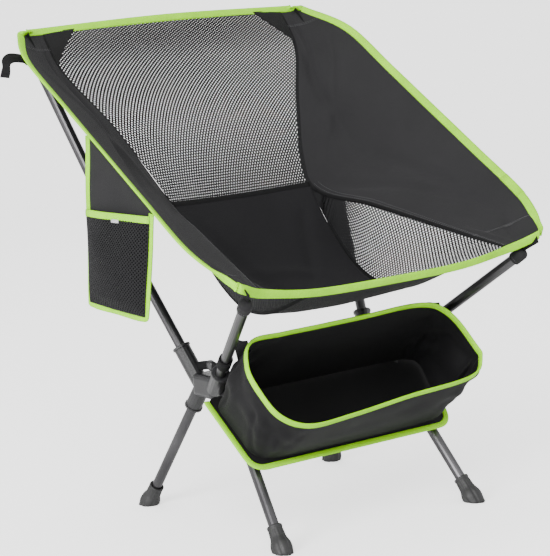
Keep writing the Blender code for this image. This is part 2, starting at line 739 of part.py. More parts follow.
def main():
    clear_scene()
    looks = {
        "metal": make_material("anodised_aluminium", (0.07, 0.07, 0.075), 0.32, 0.85),
        "ferrule": make_material("bare_aluminium", (0.62, 0.62, 0.64), 0.35, 1.0),
        "plastic": make_material("moulded_nylon", (0.035, 0.035, 0.038), 0.45),
        "rubber": make_material("foot_rubber", (0.03, 0.03, 0.032), 0.6),
        "fabric": make_material("polyester_oxford", (0.03, 0.03, 0.033), 0.75),
        "mesh": make_material("polyester_mesh", (0.025, 0.025, 0.028), 0.7),
        "lime": make_material("lime_binding", (0.33, 0.66, 0.03), 0.6),
        "webbing": make_material("webbing", (0.04, 0.04, 0.045), 0.8),
        "cord": make_material("elastic_cord", (0.05, 0.05, 0.05), 0.8),
    }
    chair = bpy.data.objects.new("chair", None)
    bpy.context.collection.objects.link(chair)
    chair.location = (CHAIR_X, HUB_Y, 0)
    make_crossbar(looks["metal"], chair)
    for side in (-1, 1):
        axes = pole_axes(side)
        make_hub(side, axes, looks["plastic"], chair)
        make_back_pole(side, axes, looks, chair)
        make_front_pole(side, axes, looks, chair)
        make_leg(side, "front_leg", "front", axes, looks, chair)
        make_leg(side, "rear_leg", "rear", axes, looks, chair)
        make_strap(side, axes, looks, chair)
    make_sling(looks, chair)
    make_bag(looks, chair)
    make_pocket(looks, chair)


main()
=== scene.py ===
import math
import bpy
import bmesh
from mathutils import Matrix, Vector, noise


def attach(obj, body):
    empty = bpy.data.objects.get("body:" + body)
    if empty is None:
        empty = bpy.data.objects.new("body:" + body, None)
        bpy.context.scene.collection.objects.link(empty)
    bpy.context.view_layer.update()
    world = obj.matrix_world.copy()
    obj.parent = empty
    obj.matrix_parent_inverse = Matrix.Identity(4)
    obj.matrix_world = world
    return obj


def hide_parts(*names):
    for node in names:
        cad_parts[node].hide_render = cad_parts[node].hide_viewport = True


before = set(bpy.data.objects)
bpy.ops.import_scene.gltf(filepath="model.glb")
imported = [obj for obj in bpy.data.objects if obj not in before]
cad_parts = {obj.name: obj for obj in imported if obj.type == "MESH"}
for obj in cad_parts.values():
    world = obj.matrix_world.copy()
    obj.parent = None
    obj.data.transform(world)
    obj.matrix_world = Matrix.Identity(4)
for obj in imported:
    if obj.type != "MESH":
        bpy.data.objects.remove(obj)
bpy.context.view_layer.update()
print("frame loaded")

chairAt = Vector((0.0067, -0.0195, 0))     # middle of the hub line on the ground
sideNames = {-1: "left", 1: "right"}


def flip(point, side):
    return Vector((side * point[0], point[1], point[2]))


def smoothPoint(points, t):
    # Catmull-Rom, t from 0 to the number of points less 1
    last = len(points) - 1
    i = max(0, min(int(t), last - 1))
    f = t - i
    p1 = points[i]
    p2 = points[i + 1]
    p0 = points[i - 1] if i > 0 else p1 * 2 - p2
    p3 = points[i + 2] if i + 2 <= last else p2 * 2 - p1
    b = p2 - p0
    c = p0 * 2 - p1 * 5 + p2 * 4 - p3
    d = p1 * 3 - p0 - p2 * 3 + p3
    return (p1 * 2 + b * f + c * f * f + d * f ** 3) * 0.5


def smoothLine(points, perSpan, closed=False):
    # evenly rounded line through a few points
    line = []
    if closed:
        ring = [points[-1]] + list(points) + list(points[:2])
        for i in range(len(points)):
            for j in range(perSpan):
                line.append(smoothPoint(ring, i + 1 + j / perSpan))
        return line
    for i in range(len(points) - 1):
        for j in range(perSpan):
            line.append(smoothPoint(points, i + j / perSpan))
    line.append(Vector(points[-1]))
    return line


# materials

def newMaterial(name):
    material = bpy.data.materials.new(name)
    material.use_nodes = True
    tree = material.node_tree
    shader = tree.nodes["Principled BSDF"]
    return material, tree, shader


def addNode(tree, kind, **sockets):
    node = tree.nodes.new(kind)
    for name, value in sockets.items():
        key = name.replace("_", " ")
        target = node.inputs[key] if key in node.inputs else node.inputs[int(name[1:])]
        if hasattr(value, "is_output"):
            tree.links.new(value, target)
        else:
            target.default_value = value
    return node


def mathNode(tree, operation, first, second=0.0):
    node = tree.nodes.new("ShaderNodeMath")
    node.operation = operation
    for socket, value in zip(node.inputs, (first, second)):
        if hasattr(value, "is_output"):
            tree.links.new(value, socket)
        else:
            socket.default_value = value
    return node.outputs[0]


def weighted(tree, first, firstShare, second, secondShare):
    return mathNode(tree, "ADD", mathNode(tree, "MULTIPLY", first, firstShare),
                    mathNode(tree, "MULTIPLY", second, secondShare))


def waveAlong(tree, value, pitch):
    return mathNode(tree, "SINE", mathNode(tree, "MULTIPLY", value, 2 * math.pi / pitch))


def spotMix(tree, factor, first, second):
    node = tree.nodes.new("ShaderNodeMix")
    node.data_type = "RGBA"
    tree.links.new(factor, node.inputs["Factor"])
    for socket, value in ((node.inputs[6], first), (node.inputs[7], second)):
        if hasattr(value, "is_output"):
            tree.links.new(value, socket)
        else:
            socket.default_value = (*value, 1)
    return node.outputs[2]


def rangeNode(tree, value, low, high, outLow=0.0, outHigh=1.0):
    node = tree.nodes.new("ShaderNodeMapRange")
    tree.links.new(value, node.inputs["Value"])
    node.inputs["From Min"].default_value = low
    node.inputs["From Max"].default_value = high
    node.inputs["To Min"].default_value = outLow
    node.inputs["To Max"].default_value = outHigh
    return node.outputs["Result"]


def coordinates(tree, useUv, scale=(1, 1, 1), turn=0.0):
    texture = tree.nodes.new("ShaderNodeTexCoord")
    mapping = tree.nodes.new("ShaderNodeMapping")
    mapping.inputs["Scale"].default_value = scale
    mapping.inputs["Rotation"].default_value = (0, 0, turn)
    tree.links.new(texture.outputs["UV" if useUv else "Object"], mapping.inputs["Vector"])
    return mapping.outputs["Vector"]


def noiseNode(tree, vector, scale, detail=3.0, roughness=0.55):
    node = addNode(tree, "ShaderNodeTexNoise", Vector=vector, Scale=scale, Detail=detail, Roughness=roughness)
    return node.outputs["Fac"]


def bumpOn(tree, shader, height, strength, distance):
    bump = addNode(tree, "ShaderNodeBump", Height=height)
    bump.inputs["Strength"].default_value = strength
    bump.inputs["Distance"].default_value = distance
    tree.links.new(bump.outputs["Normal"], shader.inputs["Normal"])


def wovenMaterial(name, look):
    # plain weave on the piece's own metres: crossed threads, slubs and a little fading, with a painted
    # highlight on the raised crossings
    material, tree, shader = newMaterial(name)
    uv = coordinates(tree, True, turn=look.get("turn", 0.0))
    split = addNode(tree, "ShaderNodeSeparateXYZ", Vector=uv)
    warp = waveAlong(tree, split.outputs[0], look["pitch"])
    weft = waveAlong(tree, split.outputs[1], look["pitch"])
    weave = mathNode(tree, "MULTIPLY", warp, weft)
    slub = noiseNode(tree, coordinates(tree, True, (90, 900, 1)), 1.0, 2.0)
    cloud = noiseNode(tree, coordinates(tree, False), look.get("cloud", 9.0), 4.0)
    fine = noiseNode(tree, coordinates(tree, False), 700.0, 2.0)
    tone = weighted(tree, cloud, 0.55, slub, 0.25)
    tone = mathNode(tree, "ADD", tone, mathNode(tree, "MULTIPLY", fine, 0.2))
    low = [c * look.get("shade", 0.72) for c in look["colour"]]
    high = [c * look.get("light", 1.3) for c in look["colour"]]
    base = spotMix(tree, rangeNode(tree, tone, 0.3, 0.7), low, high)
    # painted highlight: the raised thread crossings of the weave are lightened in the base colour
    thread = rangeNode(tree, weave, -1.0, 1.0)
    base = spotMix(tree, mathNode(tree, "MULTIPLY", thread, 0.35), base, [c * 1.7 for c in look["colour"]])
    tree.links.new(base, shader.inputs["Base Color"])
    rough = rangeNode(tree, fine, 0.2, 0.8, look["rough"] - 0.06, look["rough"] + 0.06)
    tree.links.new(rough, shader.inputs["Roughness"])
    shader.inputs["Sheen Weight"].default_value = look.get("sheen", 0.03)
    shader.inputs["Sheen Roughness"].default_value = 0.4
    shader.inputs["Specular IOR Level"].default_value = 0.2
    height = mathNode(tree, "ADD", weave, mathNode(tree, "MULTIPLY", slub, 0.8))
    bumpOn(tree, shader, height, look.get("bump", 0.5), look.get("depth", 0.00012))
    return material


def tapeMaterial(name, look):
    # ribbed tape: cross ribs along its length, finer threads the other way, with painted shade in the grooves
    # between the ribs
    material, tree, shader = newMaterial(name)
    uv = coordinates(tree, True)
    split = addNode(tree, "ShaderNodeSeparateXYZ", Vector=uv)
    ribs = waveAlong(tree, split.outputs[0], look["pitch"])
    threads = waveAlong(tree, split.outputs[1], look["thread"])
    cloud = noiseNode(tree, coordinates(tree, False), 25.0, 4.0)
    fibre = noiseNode(tree, coordinates(tree, True, (1500, 300, 1)), 1.0, 2.0)
    tone = weighted(tree, cloud, 0.6, fibre, 0.4)
    low = [c * look.get("shade", 0.75) for c in look["colour"]]
    high = [min(1.0, c * look.get("light", 1.2)) for c in look["colour"]]
    base = spotMix(tree, rangeNode(tree, tone, 0.32, 0.68), low, high)
    # painted shade: the grooves between the ribs are darkened in the base colour
    paintedGrooveShade = rangeNode(tree, ribs, -1.0, 0.1)
    base = spotMix(tree, paintedGrooveShade, [c * 0.62 for c in look["colour"]], base)
    tree.links.new(base, shader.inputs["Base Color"])
    shader.inputs["Roughness"].default_value = look["rough"]
    shader.inputs["Sheen Weight"].default_value = 0.0
    shader.inputs["Specular IOR Level"].default_value = 0.18
    height = mathNode(tree, "ADD", ribs, mathNode(tree, "MULTIPLY", threads, 0.45))
    bumpOn(tree, shader, height, 0.6, look.get("depth", 0.00015))
    return material


def metalMaterial(name, look):
    # anodised tube: satin, drawn lengthwise, with faint handling marks
    material, tree, shader = newMaterial(name)
    spots = noiseNode(tree, coordinates(tree, False), 14.0, 5.0)
    grain = noiseNode(tree, coordinates(tree, False), 900.0, 2.0)
    scuffs = noiseNode(tree, coordinates(tree, False, (1, 1, 0.25)), 160.0, 6.0, 0.7)
    low = [c * 0.82 for c in look["colour"]]
    high = [c * 1.18 for c in look["colour"]]
    base = spotMix(tree, rangeNode(tree, spots, 0.35, 0.65), low, high)
    worn = rangeNode(tree, scuffs, 0.66, 0.8, 0.0, 0.5)
    base = spotMix(tree, worn, base, [min(1.0, c * 2.4) for c in look["colour"]])
    tree.links.new(base, shader.inputs["Base Color"])
    shader.inputs["Metallic"].default_value = look["metal"]
    satin = rangeNode(tree, spots, 0.3, 0.7, look["rough"] - 0.04, look["rough"] + 0.04)
    rough = mathNode(tree, "ADD", satin, mathNode(tree, "MULTIPLY", grain, 0.05))
    tree.links.new(rough, shader.inputs["Roughness"])
    bumpOn(tree, shader, mathNode(tree, "ADD", grain, scuffs), 0.12, 0.00003)
    return material


def mouldedMaterial(name, look):
    # spark-eroded moulding texture with slightly polished high spots
    material, tree, shader = newMaterial(name)
    cells = addNode(tree, "ShaderNodeTexVoronoi", Vector=coordinates(tree, False), Scale=look["grain"])
    speck = noiseNode(tree, coordinates(tree, False), look["grain"] * 0.6, 4.0)
    cloud = noiseNode(tree, coordinates(tree, False), 30.0, 4.0)
    low = [c * 0.75 for c in look["colour"]]
    high = [c * 1.35 for c in look["colour"]]
    base = spotMix(tree, rangeNode(tree, cloud, 0.3, 0.7), low, high)
    dust = rangeNode(tree, speck, 0.6, 0.8, 0.0, 0.35)
    base = spotMix(tree, dust, base, [c * 2.2 + 0.01 for c in look["colour"]])
    tree.links.new(base, shader.inputs["Base Color"])
    tree.links.new(rangeNode(tree, speck, 0.3, 0.7, look["rough"] - 0.08, look["rough"] + 0.08),
                   shader.inputs["Roughness"])
    shader.inputs["Specular IOR Level"].default_value = 0.6
    height = mathNode(tree, "ADD", cells.outputs["Distance"], speck)
    bumpOn(tree, shader, height, look.get("bump", 0.35), 0.0001)
    return material


def braidMaterial(name, colour):
    material, tree, shader = newMaterial(name)
    waves = addNode(tree, "ShaderNodeTexWave", Vector=coordinates(tree, False), Scale=420.0, Distortion=1.5)
    waves.bands_direction = "DIAGONAL"
    base = spotMix(tree, waves.outputs["Fac"], [c * 0.6 for c in colour], [c * 1.6 for c in colour])
    tree.links.new(base, shader.inputs["Base Color"])
    shader.inputs["Roughness"].default_value = 0.8
    bumpOn(tree, shader, waves.outputs["Fac"], 0.5, 0.0002)
    return material


woven = {
    "sideCloth": {"colour": (0.0135, 0.0132, 0.0142), "pitch": 0.0009, "rough": 0.82},
    "seatCloth": {"colour": (0.0062, 0.0060, 0.0070), "pitch": 0.0009, "rough": 0.80},
    "bagCloth": {"colour": (0.0038, 0.0036, 0.0042), "pitch": 0.0008, "rough": 0.72},
    "netYarn": {"colour": (0.0075, 0.0075, 0.0082), "pitch": 0.0006, "rough": 0.75},
    "spacerCloth": {"colour": (0.007, 0.007, 0.0075), "pitch": 0.0024, "rough": 0.85, "bump": 1.0,
                    "depth": 0.0006, "turn": math.pi / 4},
    "thread": {"colour": (0.10, 0.10, 0.105), "pitch": 0.0004, "rough": 0.7},
    "limeThread": {"colour": (0.28, 0.74, 0.003), "pitch": 0.0004, "rough": 0.6},
    "paleThread": {"colour": (0.45, 0.45, 0.45), "pitch": 0.0004, "rough": 0.7},
}
taped = {
    "limeTape": {"colour": (0.36, 0.90, 0.003), "pitch": 0.0011, "thread": 0.0006, "rough": 0.62},
    "blackWebbing": {"colour": (0.0045, 0.0045, 0.0050), "pitch": 0.0016, "thread": 0.0009, "rough": 0.75,
                     "depth": 0.0003},
}
metals = {
    "poleMetal": {"colour": (0.085, 0.083, 0.087), "metal": 0.90, "rough": 0.30},
    "ferruleMetal": {"colour": (0.6, 0.6, 0.62), "metal": 1.0, "rough": 0.35},
}
moulded = {
    "hubPlastic": {"colour": (0.013, 0.013, 0.014), "grain": 1100.0, "rough": 0.34},
    "footRubber": {"colour": (0.012, 0.012, 0.0125), "grain": 700.0, "rough": 0.6, "bump": 0.5},
}
looks = {"cordBraid": braidMaterial("cordBraid", (0.03, 0.03, 0.03))}
for make, table in ((wovenMaterial, woven), (tapeMaterial, taped), (metalMaterial, metals),
                    (mouldedMaterial, moulded)):
    for name, look in table.items():
        looks[name] = make(name, look)


# making pieces

def finishPiece(bm, name, material, body, replaced=(), smooth=True, moved=True):
    if moved:
        bmesh.ops.translate(bm, vec=chairAt, verts=bm.verts)
    mesh = bpy.data.meshes.new(name)
    bm.to_mesh(mesh)
    bm.free()
    mesh.materials.append(looks[material])
    mesh.polygons.foreach_set("use_smooth", [smooth] * len(mesh.polygons))
    piece = bpy.data.objects.new(name, mesh)
    bpy.context.collection.objects.link(piece)
    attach(piece, body)
    if replaced:
        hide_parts(*replaced)
    return piece


def addModifier(piece, kind, **values):
    modifier = piece.modifiers.new(kind.title(), kind)
    for key, value in values.items():
        setattr(modifier, key, value)
    return modifier


def giveThickness(piece, thickness, offset=0.0):
    return addModifier(piece, "SOLIDIFY", thickness=thickness, offset=offset)


def surfaceNormal(surface, u, v, step=0.004):
    alongU = surface(u + step, v) - surface(u - step, v)
    alongV = surface(u, v + step) - surface(u, v - step)
    return alongU.cross(alongV).normalized()


def sheetGrid(surface, uSpan, vSpan, cuts, size, side=1, creases=None):
    # a grid laid on a surface, its UV in metres, its creases pushed along the surface's own normal
    bm = bmesh.new()
    bmesh.ops.create_grid(bm, x_segments=cuts[0], y_segments=cuts[1], size=0.5)
    uvLayer = bm.loops.layers.uv.new("UVMap")
    for face in bm.faces:
        for loop in face.loops:
            co = loop.vert.co
            loop[uvLayer].uv = ((co.x + 0.5) * size[0], (co.y + 0.5) * size[1])
    for vert in bm.verts:
        a = vert.co.x + 0.5
        b = vert.co.y + 0.5
        u = uSpan[0] + (uSpan[1] - uSpan[0]) * a
        v = vSpan[0] + (vSpan[1] - vSpan[0]) * b
        point = surface(u, v)
        if creases:
            point = point + surfaceNormal(surface, u, v) * creases(a * size[0], b * size[1], a, b)
        vert.co = flip(point, side)
    if side < 0:
        bmesh.ops.reverse_faces(bm, faces=bm.faces)
    return bm


def foldSum(x, y, folds):
    # each fold: start, end, half width, height; it fades towards its ends
    total = 0.0
    for (x0, y0), (x1, y1), width, height in folds:
        dx, dy = x1 - x0, y1 - y0
        length = math.hypot(dx, dy)
        share = ((x - x0) * dx + (y - y0) * dy) / (length * length)
        if -0.15 < share < 1.15:
            away = ((x - x0) * dy - (y - y0) * dx) / length
            away += 0.1 * width * math.sin(share * 7.0)
            fade = max(0.0, min(1.0, (share + 0.15) / 0.3)) * max(0.0, min(1.0, (1.15 - share) / 0.45))
            total += height * fade * math.exp(-(away / width) ** 2)
    return total


def openNet(bm, barShare):
    # crosses the grid's squares into diamonds, then opens each one
    inner = [edge for edge in bm.edges if not edge.is_boundary]
    bmesh.ops.poke(bm, faces=bm.faces[:])
    bmesh.ops.dissolve_edges(bm, edges=[edge for edge in inner if edge.is_valid], use_verts=False)
    diamonds = [face for face in bm.faces if len(face.verts) == 4]
    pitch = sum(edge.calc_length() for edge in diamonds[0].edges) / 4
    bmesh.ops.inset_individual(bm, faces=diamonds, thickness=pitch * barShare, use_even_offset=True)
    bmesh.ops.delete(bm, geom=diamonds, context="FACES_ONLY")
    return bm


def sweepLine(points, profile, wide, closed=False, twist=None, capped=True):
    # rings of an oval carried along a line and bridged; wide(i, point, tangent) is the oval's long way
    bm = bmesh.new()
    count = len(points)
    rings = []
    where = {}
    travelled = 0.0
    stations = []
    for i, point in enumerate(points):
        if i:
            travelled += (point - points[i - 1]).length
        after = points[(i + 1) % count] if closed else points[min(i + 1, count - 1)]
        before = points[i - 1] if closed else points[max(i - 1, 0)]
        tangent = (after - before).normalized()
        across = wide(i, point, tangent)
        across = (across - tangent * across.dot(tangent)).normalized()
        up = tangent.cross(across)
        grow = twist(i / (count - 1)) if twist else 1.0
        ring = bmesh.ops.create_circle(bm, segments=profile[2], radius=1.0)["verts"]
        for k, vert in enumerate(ring):
            angle = 2 * math.pi * k / profile[2]
            x = abs(math.cos(angle)) ** profile[3] * math.copysign(1, math.cos(angle))
            y = abs(math.sin(angle)) ** profile[3] * math.copysign(1, math.sin(angle))
            vert.co = point + across * (x * profile[0] * grow) + up * (y * profile[1] * grow)
            where[vert] = (i, k)
        rings.append(ring)
        stations.append(travelled)
    total = travelled + ((points[0] - points[-1]).length if closed else 0.0)
    uvLayer = bm.loops.layers.uv.new("UVMap")
    pairs = list(zip(rings, rings[1:]))
    if closed:
        pairs.append((rings[-1], rings[0]))
    for first, second in pairs:
        edges = []
        for ring in (first, second):
            members = set(ring)
            edges += [e for e in {e for v in ring for e in v.link_edges} if set(e.verts) <= members]
        bmesh.ops.bridge_loops(bm, edges=edges)
    if capped and not closed:
        for ring in (rings[0], rings[-1]):
            bm.faces.new(ring)
    girth = 2 * (profile[0] + profile[1]) * 1.2
    sides = profile[2]
    for face in bm.faces:
        marks = [where[loop.vert] for loop in face.loops]
        endWrap = closed and max(m[0] for m in marks) == count - 1 and min(m[0] for m in marks) == 0
        sideWrap = max(m[1] for m in marks) == sides - 1 and min(m[1] for m in marks) == 0 and len(marks) == 4
        for loop, (i, k) in zip(face.loops, marks):
            along = total if endWrap and i == 0 else stations[i]
            around = sides if sideWrap and k == 0 else k
            loop[uvLayer].uv = (along, around / sides * girth)
    bmesh.ops.recalc_face_normals(bm, faces=bm.faces)
    return bm


def stitchRow(points, normals, pitch, length, width, rise):
    # short sewn stitches along a line, each a little raised bar
    bm = bmesh.new()
    gap = 0.0
    for i in range(len(points) - 1):
        start, end = points[i], points[i + 1]
        span = (end - start).length
        if span < 1e-6:
            continue
        tangent = (end - start) / span
        normal = normals[i]
        across = normal.cross(tangent).normalized()
        at = gap
        while at < span:
            middle = start + tangent * at + normal * rise
            turn = Matrix((tangent * length / 2, across * width / 2, normal * width / 2)).transposed()
            place = Matrix.Translation(middle) @ turn.to_4x4()
            bmesh.ops.create_icosphere(bm, subdivisions=1, radius=1.0, matrix=place)
            at += pitch
        gap = at - span
    bm.loops.layers.uv.new("UVMap")
    return bm


def joinForms(forms):
    bm = bmesh.new()
    for form in forms:
        carrier = bpy.data.meshes.new("carrier")
        form.to_mesh(carrier)
        form.free()
        bm.from_mesh(carrier)
        bpy.data.meshes.remove(carrier)
    return bm


def frames(points, wide, closed):
    # each station of a line: point, tangent, long way of its tape, and the way up from it
    count = len(points)
    found = []
    for i, point in enumerate(points):
        after = points[(i + 1) % count] if closed else points[min(i + 1, count - 1)]
        before = points[i - 1] if closed else points[max(i - 1, 0)]
        tangent = (after - before).normalized()
        across = wide(i, point, tangent)
        across = (across - tangent * across.dot(tangent)).normalized()
        found.append((point, tangent, across, tangent.cross(across)))
    return found


def tapeStitches(name, points, wide, closed, inset, rise, material, body, pitch=0.0032):
    # one row of stitches on each face of a folded tape
    stations = frames(points, wide, closed)
    if closed:
        stations = stations + stations[:1]
    line = [p + across * inset for p, tangent, across, up in stations]
    rows = []
    for face in (-1, 1):
        ups = [up * face for p, tangent, across, up in stations]
        rows.append(stitchRow(line, ups, pitch, pitch * 0.7, 0.0006, rise))
    return finishPiece(joinForms(rows), name, material, body)


def rowOnSurface(name, surface, at, count, side, lift, material, pitch=0.0034):
    # stitches through a cloth, along at(share) -> (u, v), seen on both faces
    stops = [at(i / (count - 1)) for i in range(count)]
    points = [flip(surface(u, v), side) for u, v in stops]
    normals = [flip(surfaceNormal(surface, u, v), side) for u, v in stops]
    rows = [stitchRow(points, [n * face for n in normals], pitch, pitch * 0.68, 0.0005, lift)
            for face in (-1, 1)]
    return finishPiece(joinForms(rows), name, material, "root")


def limeBand(name, stitches, path, half, wide, closed, inset, rise, body, replaced=()):
    # bound tape with a row of stitches near its inner edge
    band = sweepLine(path, (*half, 12, 0.75), wide, closed=closed)
    finishPiece(band, name, "limeTape", body, replaced)
    tapeStitches(stitches, path, wide, closed, inset, rise, "limeThread", body)


# lines of the sling, from the hub line

seat = {
    "halfWidth": 0.2585, "cornerBack": (0.2270, 0.2630, 0.6362), "cornerFront": (0.2335, -0.2310, 0.3470),
    "rimBack": (0.2575, 0.19, 0.604), "rimFront": (0.2575, -0.165, 0.389), "backTop": (0, 0.262, 0.640),
    "frontEdge": (0, -0.216, 0.3205), "low": (0, -0.09, 0.275), "backFoot": (0, 0.112, 0.4015),
    "clothThick": 0.0009, "netPitch": 0.0056, "netBar": 0.325, "tapeWidth": 0.0050, "bindingWide": 0.0058,
    "bindingThick": 0.0019,
}


def rimPoints():
    back, front = Vector(seat["rimBack"]), Vector(seat["rimFront"])
    middle = []
    for share in (0.25, 0.5, 0.75):
        point = back.lerp(front, share)
        point.x = seat["halfWidth"]
        middle.append(point)
    return [Vector(seat["cornerBack"]), back, *middle, front, Vector(seat["cornerFront"])]


def centrePoints():
    top, foot, low = Vector(seat["backTop"]), Vector(seat["backFoot"]), Vector(seat["low"])
    sag = Vector((0, 0.005, 0))
    knee = Vector((0, foot.y - 0.112, low.z + 0.021))
    return [top, top.lerp(foot, 0.24) + sag, top.lerp(foot, 0.55) + sag, foot, knee, low,
            Vector(seat["frontEdge"])]


def tapePoints():
    corner, foot = Vector(seat["cornerBack"]), Vector(seat["backFoot"])
    head = Vector((corner.x - 0.034, corner.y + 0.003, corner.z))
    heel = foot + Vector((0.111, -0.012, 0.0035))
    front = seat["frontEdge"]
    toe = Vector((seat["cornerFront"][0] - 0.0435, front[1] - 0.001, front[2] + 0.0125))
    second = Vector((head.x - 0.005, head.lerp(heel, 0.26).y, head.lerp(heel, 0.24).z))
    third = head.lerp(heel, 0.56) + Vector((0.001, -0.003, 0))
    return [head, second, third, heel, heel.lerp(toe, 1 / 3), heel.lerp(toe, 2 / 3), toe]


def seamPoints():
    tape, centre = tapePoints(), centrePoints()
    return tape[:4] + [centre[4] + Vector((0.105, 0, 0.007)), centre[5] + Vector((0.110, 0, 0.006)),
                       centre[6] + Vector((0.112, -0.0005, 0.002))]


rimLine, centreLine, tapeLine, seamLine = rimPoints(), centrePoints(), tapePoints(), seamPoints()


def centreSurface(u, t):
    middle, edge = smoothPoint(centreLine, t), smoothPoint(seamLine, t)
    point = middle + (edge - middle) * (u * u)
    point.x = edge.x * u
    return point


def sideSurface(w, t):
    point = smoothPoint(tapeLine, t).lerp(smoothPoint(rimLine, t), w)
    point.z -= 0.003 * math.sin(math.pi * max(0, min(1, w)))
    return point


def gussetSurface(w, t):
    return smoothPoint(seamLine, t).lerp(smoothPoint(tapeLine, t), w)


def roundCorner(before, corner, after, cut):
    start = corner + (before - corner).normalized() * cut
    end = corner + (after - corner).normalized() * cut
    return [start, corner.lerp((start + end) / 2, 0.62), end]


def rimLoop(perSpan):
    right = [tapeLine[0], *roundCorner(tapeLine[0], rimLine[0], rimLine[1], 0.0145), *rimLine[1:6],
             *roundCorner(rimLine[5], rimLine[6], tapeLine[6], 0.013), tapeLine[6], seamLine[6]]
    left = [flip(p, -1) for p in reversed(right)]
    keys = [Vector(seat["backTop"])] + right + [Vector(seat["frontEdge"])] + left
    return smoothLine(keys, perSpan, closed=True)


# sling cloth

def sideCreases(x, y, a, b):
    # long soft folds that fan from the pole pockets, and a little looseness
    folds = [((0.02, 0.10), (0.10, 0.33), 0.011, 0.0040), ((0.12, 0.10), (0.03, 0.28), 0.009, -0.0030),
             ((0.01, 0.30), (0.12, 0.47), 0.012, 0.0034), ((0.13, 0.52), (0.04, 0.62), 0.010, 0.0036),
             ((0.02, 0.52), (0.11, 0.66), 0.010, -0.0030), ((0.10, 0.30), (0.13, 0.52), 0.012, 0.0026),
             ((0.05, 0.02), (0.04, 0.16), 0.008, 0.0026)]
    loose = noise.noise(Vector((x * 14, y * 9, 3.1))) * 0.0022
    loose += noise.noise(Vector((x * 34, y * 26, 9.7))) * 0.0006
    inside = min(1.0, 6.0 * a, 7.0 * (1 - a)) * min(1.0, 8.0 * b, 10.0 * (1 - b))
    return (foldSum(x, y, folds) + loose) * max(0.0, inside)


def seatCreases(x, y, a, b):
    folds = [((0.02, 0.03), (0.09, 0.16), 0.009, 0.0030), ((0.20, 0.02), (0.13, 0.15), 0.009, 0.0030),
             ((0.06, 0.10), (0.16, 0.12), 0.008, -0.0020), ((0.03, 0.22), (0.19, 0.25), 0.010, 0.0022)]
    loose = noise.noise(Vector((x * 18, y * 14, 6.3))) * 0.0020
    inside = min(1.0, 6.0 * a, 6.0 * (1 - a)) * min(1.0, 10.0 * b, 8.0 * (1 - b))
    return (foldSum(x, y, folds) + loose) * max(0.0, inside)


def netCreases(x, y, a, b):
    inside = min(1.0, 6.0 * a, 6.0 * (1 - a)) * min(1.0, 6.0 * b, 6.0 * (1 - b))
    return noise.noise(Vector((x * 9, y * 8, 1.7))) * 0.0025 * inside


def surfaceSize(surface, uSpan, vSpan):
    u, v = sum(uSpan) / 2, sum(vSpan) / 2
    across = sum((surface(uSpan[0] + (uSpan[1] - uSpan[0]) * (i + 1) / 12, v)
                  - surface(uSpan[0] + (uSpan[1] - uSpan[0]) * i / 12, v)).length for i in range(12))
    down = sum((surface(u, vSpan[0] + (vSpan[1] - vSpan[0]) * (i + 1) / 40)
                - surface(u, vSpan[0] + (vSpan[1] - vSpan[0]) * i / 40)).length for i in range(40))
    return across, down


def declareCloth(piece, flat, held="stretched", **more):
    # the cut piece laid flat, width by length; area= is given where the cut isn't a rectangle
    if "area" in more:
        more["area"] = min(more["area"], flat[0] * flat[1])


def clothArea(piece):
    return round(sum(face.area for face in piece.data.polygons), 5)


netSpan = ((-1.0, 1.0), (0.035, 3.0))
netSize = surfaceSize(centreSurface, *netSpan)
cuts = (int(netSize[0] / seat["netPitch"]), int(netSize[1] / seat["netPitch"]))
bm = openNet(sheetGrid(centreSurface, *netSpan, cuts, netSize, creases=netCreases), seat["netBar"])
backNet = finishPiece(bm, "backNet", "netYarn", "root", ["back_mesh"])

seatSpan = ((-1.0, 1.0), (3.0, 5.975))
bm = sheetGrid(centreSurface, *seatSpan, (44, 64), surfaceSize(centreSurface, *seatSpan), creases=seatCreases)
seatCloth = finishPiece(bm, "seatCloth", "seatCloth", "root", ["seat_panel"])
giveThickness(seatCloth, seat["clothThick"])
addModifier(seatCloth, "SUBSURF", levels=1, render_levels=1)

sidePanels, gussets = {}, {}
sideSpan = ((0.0, 1.0), (0.0, 5.975))
gussetSpan = ((0.0, 1.0), (3.05, 5.97))
for side in (-1, 1):
    label = sideNames[side]
    size = surfaceSize(sideSurface, *sideSpan)
    bm = sheetGrid(sideSurface, *sideSpan, (34, 150), size, side, sideCreases)
    panel = finishPiece(bm, "sideCloth_" + label, "sideCloth", "root",
                        ["side_panel_" + label])
    giveThickness(panel, seat["clothThick"])
    addModifier(panel, "SUBSURF", levels=1, render_levels=1)
    sidePanels[side] = panel
    size = surfaceSize(gussetSurface, *gussetSpan)
    cuts = (int(size[0] / seat["netPitch"]), int(size[1] / seat["netPitch"]))
    bm = openNet(sheetGrid(gussetSurface, *gussetSpan, cuts, size, side), seat["netBar"])
    gussets[side] = finishPiece(bm, "gussetNet_" + label, "netYarn", "root",
                                ["side_mesh_" + label])

netFill = 1 - (1 - 2 * seat["netBar"]) ** 2      # the share of a net that is yarn
declareCloth(seatCloth, surfaceSize(centreSurface, *seatSpan))
declareCloth(backNet, netSize, area=clothArea(backNet) / netFill)
for side in (-1, 1):
    declareCloth(sidePanels[side], (0.150, 0.760), area=clothArea(sidePanels[side]))
    declareCloth(gussets[side], (0.100, 0.300), area=clothArea(gussets[side]) / netFill)
print("sling cloth made")


# bound edge, seams and stitching of the sling

innerPoints = [flip(sideSurface(0.85, t), side) for t in [0.05 * i for i in range(121)] for side in (-1, 1)]
innerPoints += [centreSurface(u / 20, t) for u in range(-20, 21) for t in (0.35, 5.8)]


rimPath = rimLoop(7)
nearCloth = [(min(innerPoints, key=lambda other: (other - point).length_squared) - point).normalized()
             for point in rimPath]
rimCount = len(rimPath)
rimInward = [sum((nearCloth[(i + k) % rimCount] for k in range(-5, 6)), Vector()).normalized()
             for i in range(rimCount)]
for point, inward in zip(rimPath, rimInward):      # the front edge's tape stands nearly upright
    upright = max(0.0, min(1.0, (-0.195 - point.y) / 0.02)) * 0.7
    inward.xyz = (inward * (1 - upright) + Vector((0, 0.2, -1)) * upright).normalized()


